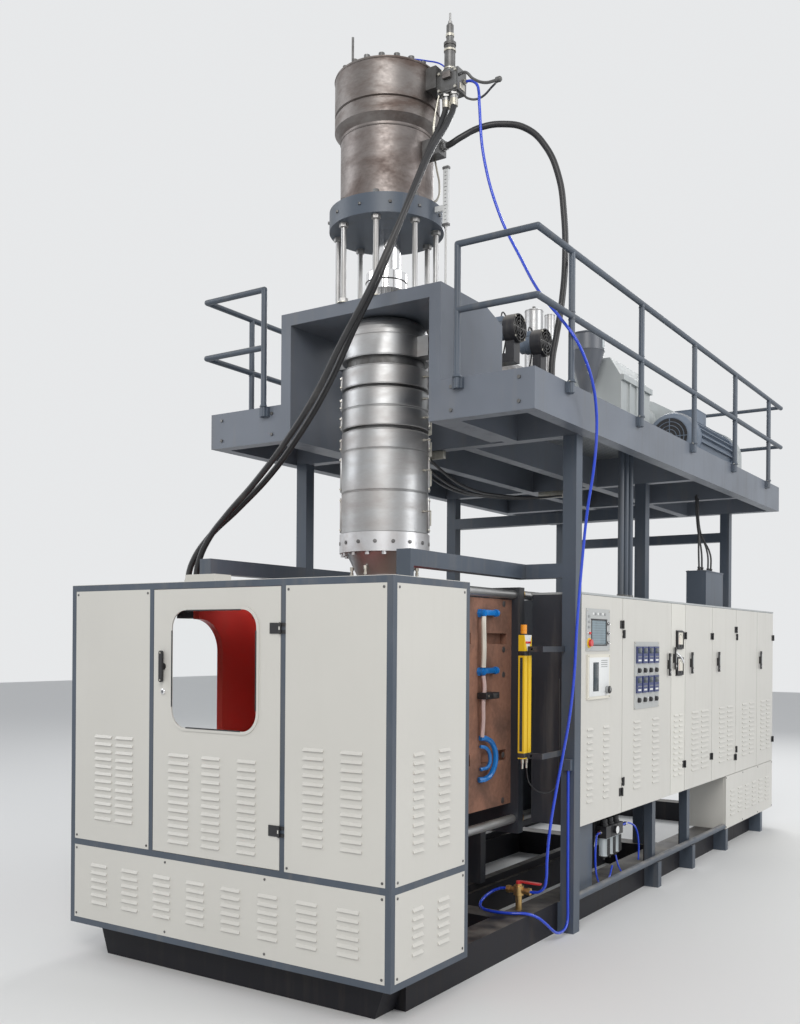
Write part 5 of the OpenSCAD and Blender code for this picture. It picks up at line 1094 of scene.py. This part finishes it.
SIDE = 0.6
piece("mould_couplings", "clamp_rear", [
    [[fitting((SIDE, 0.030, z), "x", fitting_blue, 0.020, 0.034),
      disc((SIDE + 0.028, 0.030, z), 0.016, 0.012, "x", fitting_blue, 20),
      block((SIDE + 0.022, 0.105, z + 0.004), (0.026, 0.12, 0.032), fitting_blue, 0.008),
      turned((SIDE + 0.022, 0.165, z + 0.004), [(0.021, 0), (0.021, 0.022), (0.016, 0.028)], "y",
             fitting_blue, 12)]
     for z in (1.756, 1.442)],
    pipe([(SIDE + 0.012, 0.030, 1.085), (SIDE + 0.026, 0.070, 1.080), (SIDE + 0.036, 0.130, 1.040),
          (SIDE + 0.038, 0.155, 0.965), (SIDE + 0.034, 0.125, 0.895), (SIDE + 0.026, 0.060, 0.862),
          (SIDE + 0.010, 0.020, 0.860)], 0.030, fitting_blue, 12),
    pipe([(SIDE + 0.012, 0.030, 1.040), (SIDE + 0.030, 0.060, 1.030), (SIDE + 0.036, 0.095, 0.985),
          (SIDE + 0.032, 0.085, 0.930), (SIDE + 0.012, 0.035, 0.915)], 0.020, fitting_blue, 10)])
piece("mould_hoses", "clamp_rear", [
    pipe([(SIDE + 0.028, 0.030, 1.738), (SIDE + 0.030, 0.026, 1.70), (SIDE + 0.028, 0.034, 1.62),
          (SIDE + 0.032, 0.028, 1.54), (SIDE + 0.028, 0.030, 1.465)], 0.026, warm_white, 10),
    pipe([(SIDE + 0.028, 0.030, 1.420), (SIDE + 0.032, 0.036, 1.36), (SIDE + 0.030, 0.028, 1.28),
          (SIDE + 0.026, 0.036, 1.18), (SIDE + 0.022, 0.032, 1.090)], 0.022, hose_pink, 10),
    pipe([(SIDE + 0.012, 0.068, 1.40), (SIDE + 0.012, 0.070, 1.30), (SIDE + 0.012, 0.066, 1.08)], 0.008,
         dark_steel, 8)])
piece("mould_switch", "clamp_rear", [
    block((SIDE + 0.030, 0.085, 1.312), (0.056, 0.150, 0.036), black_plastic, 0.004),
    block((SIDE + 0.052, 0.120, 1.312), (0.020, 0.06, 0.026), dark_steel, 0.003),
    [disc((SIDE + 0.058, y, 1.312), 0.006, 0.004, "x", zinc) for y in (0.035, 0.135)]])
for body, side in (("clamp_front", -1), ("clamp_rear", 1)):
    piece(f"mould_plugs_{body}", body, [
        [turned((end * SIDE, side * 0.31, z), [(0.017, 0), (0.017, end * 0.002), (0.011, end * 0.003)], "x",
                flange_steel, 24) for end, z in grid((1, -1), (0.715, 0.97, 1.42, 1.56, 1.815))],
        [[turned((x, side * 0.20, 1.840), [(0.020, 0), (0.020, 0.003), (0.012, 0.004)], "z", flange_steel,
                 24),
          block((x, side * 0.378, 1.857), (0.07, 0.05, 0.034), flange_steel, 0.003)]
         for x in (-0.52, -0.28, 0.28, 0.52)]])

# Platens: clamp screws, the guides' wipers and the ends of the clamp cylinder

PLATEN_Y = 0.465
screw_xs = (-0.50, -0.25, 0.02, 0.25, 0.50)
JACK_Z = 1.236
piece("front_platen_bolts", "clamp_front", [
    disc(p, 0.016, -0.007, "y", dark_steel, 6) for p in grid(screw_xs, -PLATEN_Y, (0.62, 1.875))])
piece("rear_platen_bolts", "clamp_rear", [
    [disc(p, 0.016, 0.014, "y", dark_steel, 6) for p in grid(screw_xs, PLATEN_Y, (1.50, 1.70, 1.87))],
    [turned(p, [(0.040, 0), (0.040, 0.012), (0.033, 0.018)], "y", brass, 36)
     for p in grid((-0.61, 0.61), PLATEN_Y, (0.6, 1.872))]])
piece("clamp_cylinder_ends", "clamp_front", [
    turned((0, 2.140, JACK_Z), [(0.150, 0), (0.150, 0.030), (0.125, 0.036)], "y", platen_black, 56),
    turned((0, 2.96, JACK_Z), [(0.125, 0), (0.125, 0.082), (0.117, 0.088)], "y", platen_black, 56),
    [disc(p, 0.010, 0.010, "y", zinc, 6) for p in circle(12, 0.132, 0, (0, 2.170, JACK_Z), "y")],
    fitting((0, 2.24, 1.355), "z", zinc, 0.020, 0.04),
    fitting((0, 2.99, 1.365), "z", zinc, 0.020, 0.04)])

# Light curtain: end caps, windows and clamps

CURTAIN_X = 0.818
curtain_ys = (0.120, 0.168)
piece("curtain_caps", "machine", [
    [block(p, (0.040, 0.040, 0.024), black_plastic, 0.002)
     for p in grid(CURTAIN_X, curtain_ys, (0.998, 1.542))],
    [block((CURTAIN_X, y - 0.0185, 1.27), (0.016, 0.002, 0.50), display_dark, 0) for y in curtain_ys],
    disc((CURTAIN_X, 0.128, 1.6405), 0.019, 0.006, "z", black_plastic, 28),
    ring((CURTAIN_X, 0.128, 1.666), 0.0172, 0.0012, "z", lamp_orange, 28, 6),
    block((CURTAIN_X, 0.144, 1.600), (0.040, 0.060, 0.012), stop_red, 0.001)])
piece("curtain_pins", "machine", [
    [turned(p, [(0.009, 0), (0.009, -0.030), (0.006, -0.032), (0.006, -0.06)], "z", zinc, 14)
     for p in grid(CURTAIN_X, curtain_ys, 0.986)],
    [disc((0.86, 0.144, z), 0.006, -0.004, "y", zinc, 10) for z in (0.995, 1.565)]])
piece("curtain_lead", "machine", [
    pipe([(CURTAIN_X, 0.168, 0.925), (0.822, 0.20, 0.84), (0.86, 0.30, 0.78), (0.885, 0.38, 0.80),
          (0.893, 0.412, 0.95), (0.893, 0.414, 1.40)], 0.008, hose_rubber, 8)])

# Compressed air unit: knob, gauges, bowls' caps and tubes

AIR_X = 0.900
GAUGE = (1.132, 0.468)
knob_profile = [(0.026, 0), (0.026, 0.012), (0.022, 0.016), (0.022, 0.040), (0.018, 0.044)]
drain_profile = [(0.018, 0), (0.018, -0.010), (0.008, -0.012), (0.008, -0.024)]
piece("air_unit_caps", "machine", [
    [[turned((AIR_X, y, 0.500), knob_profile, "z", black_plastic, 24),
      turned((AIR_X, y, 0.320), drain_profile, "z", black_plastic, 20),
      [block((0.9325, y + d, 0.375), (0.004, 0.008, 0.10), black_plastic, 0.001)
       for d in (-0.016, 0.0, 0.016)]]
     for y in (1.042, 1.132, 1.222)],
    disc((0.935, *GAUGE), 0.024, 0.018, "x", black_plastic, 28)])
piece("air_unit_gauge", "machine", [
    disc((0.953, *GAUGE), 0.021, 0.001, "x", cool_white, 28),
    ring((0.9535, *GAUGE), 0.0225, 0.0018, "x", chromed, 28, 6),
    fitting((AIR_X, 1.000, 0.465), "y", chromed, 0.011, -0.028),
    fitting((AIR_X, 1.378, 0.465), "y", chromed, 0.011, 0.022)])
piece("air_tubes", "machine", [
    pipe([(AIR_X, 0.972, 0.465), (0.905, 0.93, 0.462), (0.92, 0.88, 0.43), (0.925, 0.86, 0.33),
          (0.92, 0.90, 0.215), (0.915, 0.99, 0.155), (0.92, 1.08, 0.18), (0.925, 1.12, 0.25)], 0.012,
         air_blue, 8),
    pipe([(AIR_X, 1.40, 0.465), (0.905, 1.45, 0.46), (0.92, 1.52, 0.42), (0.925, 1.56, 0.32),
          (0.92, 1.57, 0.21)],
         0.012, air_blue, 8),
    pipe([(0.905, 1.222, 0.296), (0.915, 1.24, 0.23), (0.925, 1.30, 0.17), (0.925, 1.40, 0.15),
          (0.92, 1.50, 0.18)],
         0.010, air_blue, 8)])

# Blow pin: head screws, scraper and the air union

piece("blow_pin_bolts", "machine", [
    turned((0, 0, 0.435), [(0.045, 0), (0.045, 0.008), (0.034, 0.012)], "z", dark_steel, 36),
    [bolt(p, "z", zinc, 0.010, 0.010) for p in grid((-0.135, 0.135), (-0.05, 0.05), 0.195)],
    fitting((0.080, 0, 0.30), "x", zinc, 0.012, 0.03)])

# Underside of the platform: sagging cables between the columns and their clips

piece("cable_run", "machine", [
    [pipe([(x, 0.43, 2.70), (x + 0.03, 0.60, 2.62), (x, 0.95, 2.58), (x - 0.04, 1.40, 2.60),
           (x, 1.90, 2.64), (x, 2.31, 2.70)], 0.018, hose_rubber, 8) for x in (-0.10, -0.05, 0.02)],
    [block((-0.04, y, 2.722), (0.30, 0.03, 0.048), zinc, 0.003) for y in (0.47, 2.36)]])

# Light and floor


def floor_finish():
    finish = bpy.data.materials.new("pale_floor")
    finish.use_nodes = True
    shader = finish.node_tree.nodes["Principled BSDF"]
    shader.inputs["Base Color"].default_value = (0.74, 0.74, 0.73, 1)
    shader.inputs["Roughness"].default_value = 0.75
    return finish


deselect()
bpy.ops.mesh.primitive_plane_add(size=60, location=(0, 1.5, 0))
floor = bpy.context.object
floor.name = "floor"
floor.data.materials.append(floor_finish())

world = bpy.data.worlds.new("studio")
scene.world = world
world.use_nodes = True
sky = Wiring(world.node_tree)
background = world.node_tree.nodes["Background"]
background.inputs["Color"].default_value = (0.92, 0.95, 1.0, 1)
background.inputs["Strength"].default_value = 0.55
shown = sky.put("ShaderNodeBackground", {"Color": (0.80, 0.81, 0.82, 1), "Strength": 1.0})
rays = sky.put("ShaderNodeLightPath")
mirrored = sky.maths("MAXIMUM", rays.outputs["Is Glossy Ray"], rays.outputs["Is Transmission Ray"])
seen = sky.maths("MAXIMUM", rays.outputs["Is Camera Ray"], mirrored)
both = sky.put("ShaderNodeMixShader", {0: seen, 1: background.outputs[0], 2: shown.outputs[0]})
sky.link(both.outputs[0], world.node_tree.nodes["World Output"].inputs["Surface"])


def lamp(name, place, target, size, power, colour=(1, 1, 1)):
    light = bpy.data.lights.new(name, "AREA")
    light.shape = "RECTANGLE"
    light.size, light.size_y = size
    light.energy = power
    light.color = colour
    holder = bpy.data.objects.new(name, light)
    scene.collection.objects.link(holder)
    holder.location = place
    holder.rotation_euler = (Vector(target) - Vector(place)).to_track_quat("-Z", "Y").to_euler()


lamp("key", (4.6, -8.1, 7.5), (0, 0.5, 2.0), (5, 5), 490, (1.0, 0.98, 0.95))
lamp("side", (8.5, 3.0, 5.5), (0, 1.5, 2.0), (5, 5), 330)
lamp("left", (-8.0, -4.0, 6.0), (0, 1.0, 2.2), (5, 5), 200, (0.95, 0.97, 1.0))
lamp("back", (-3.0, 11.0, 7.0), (0, 2.5, 2.5), (5, 4), 380)

scene.view_settings.view_transform = "Standard"
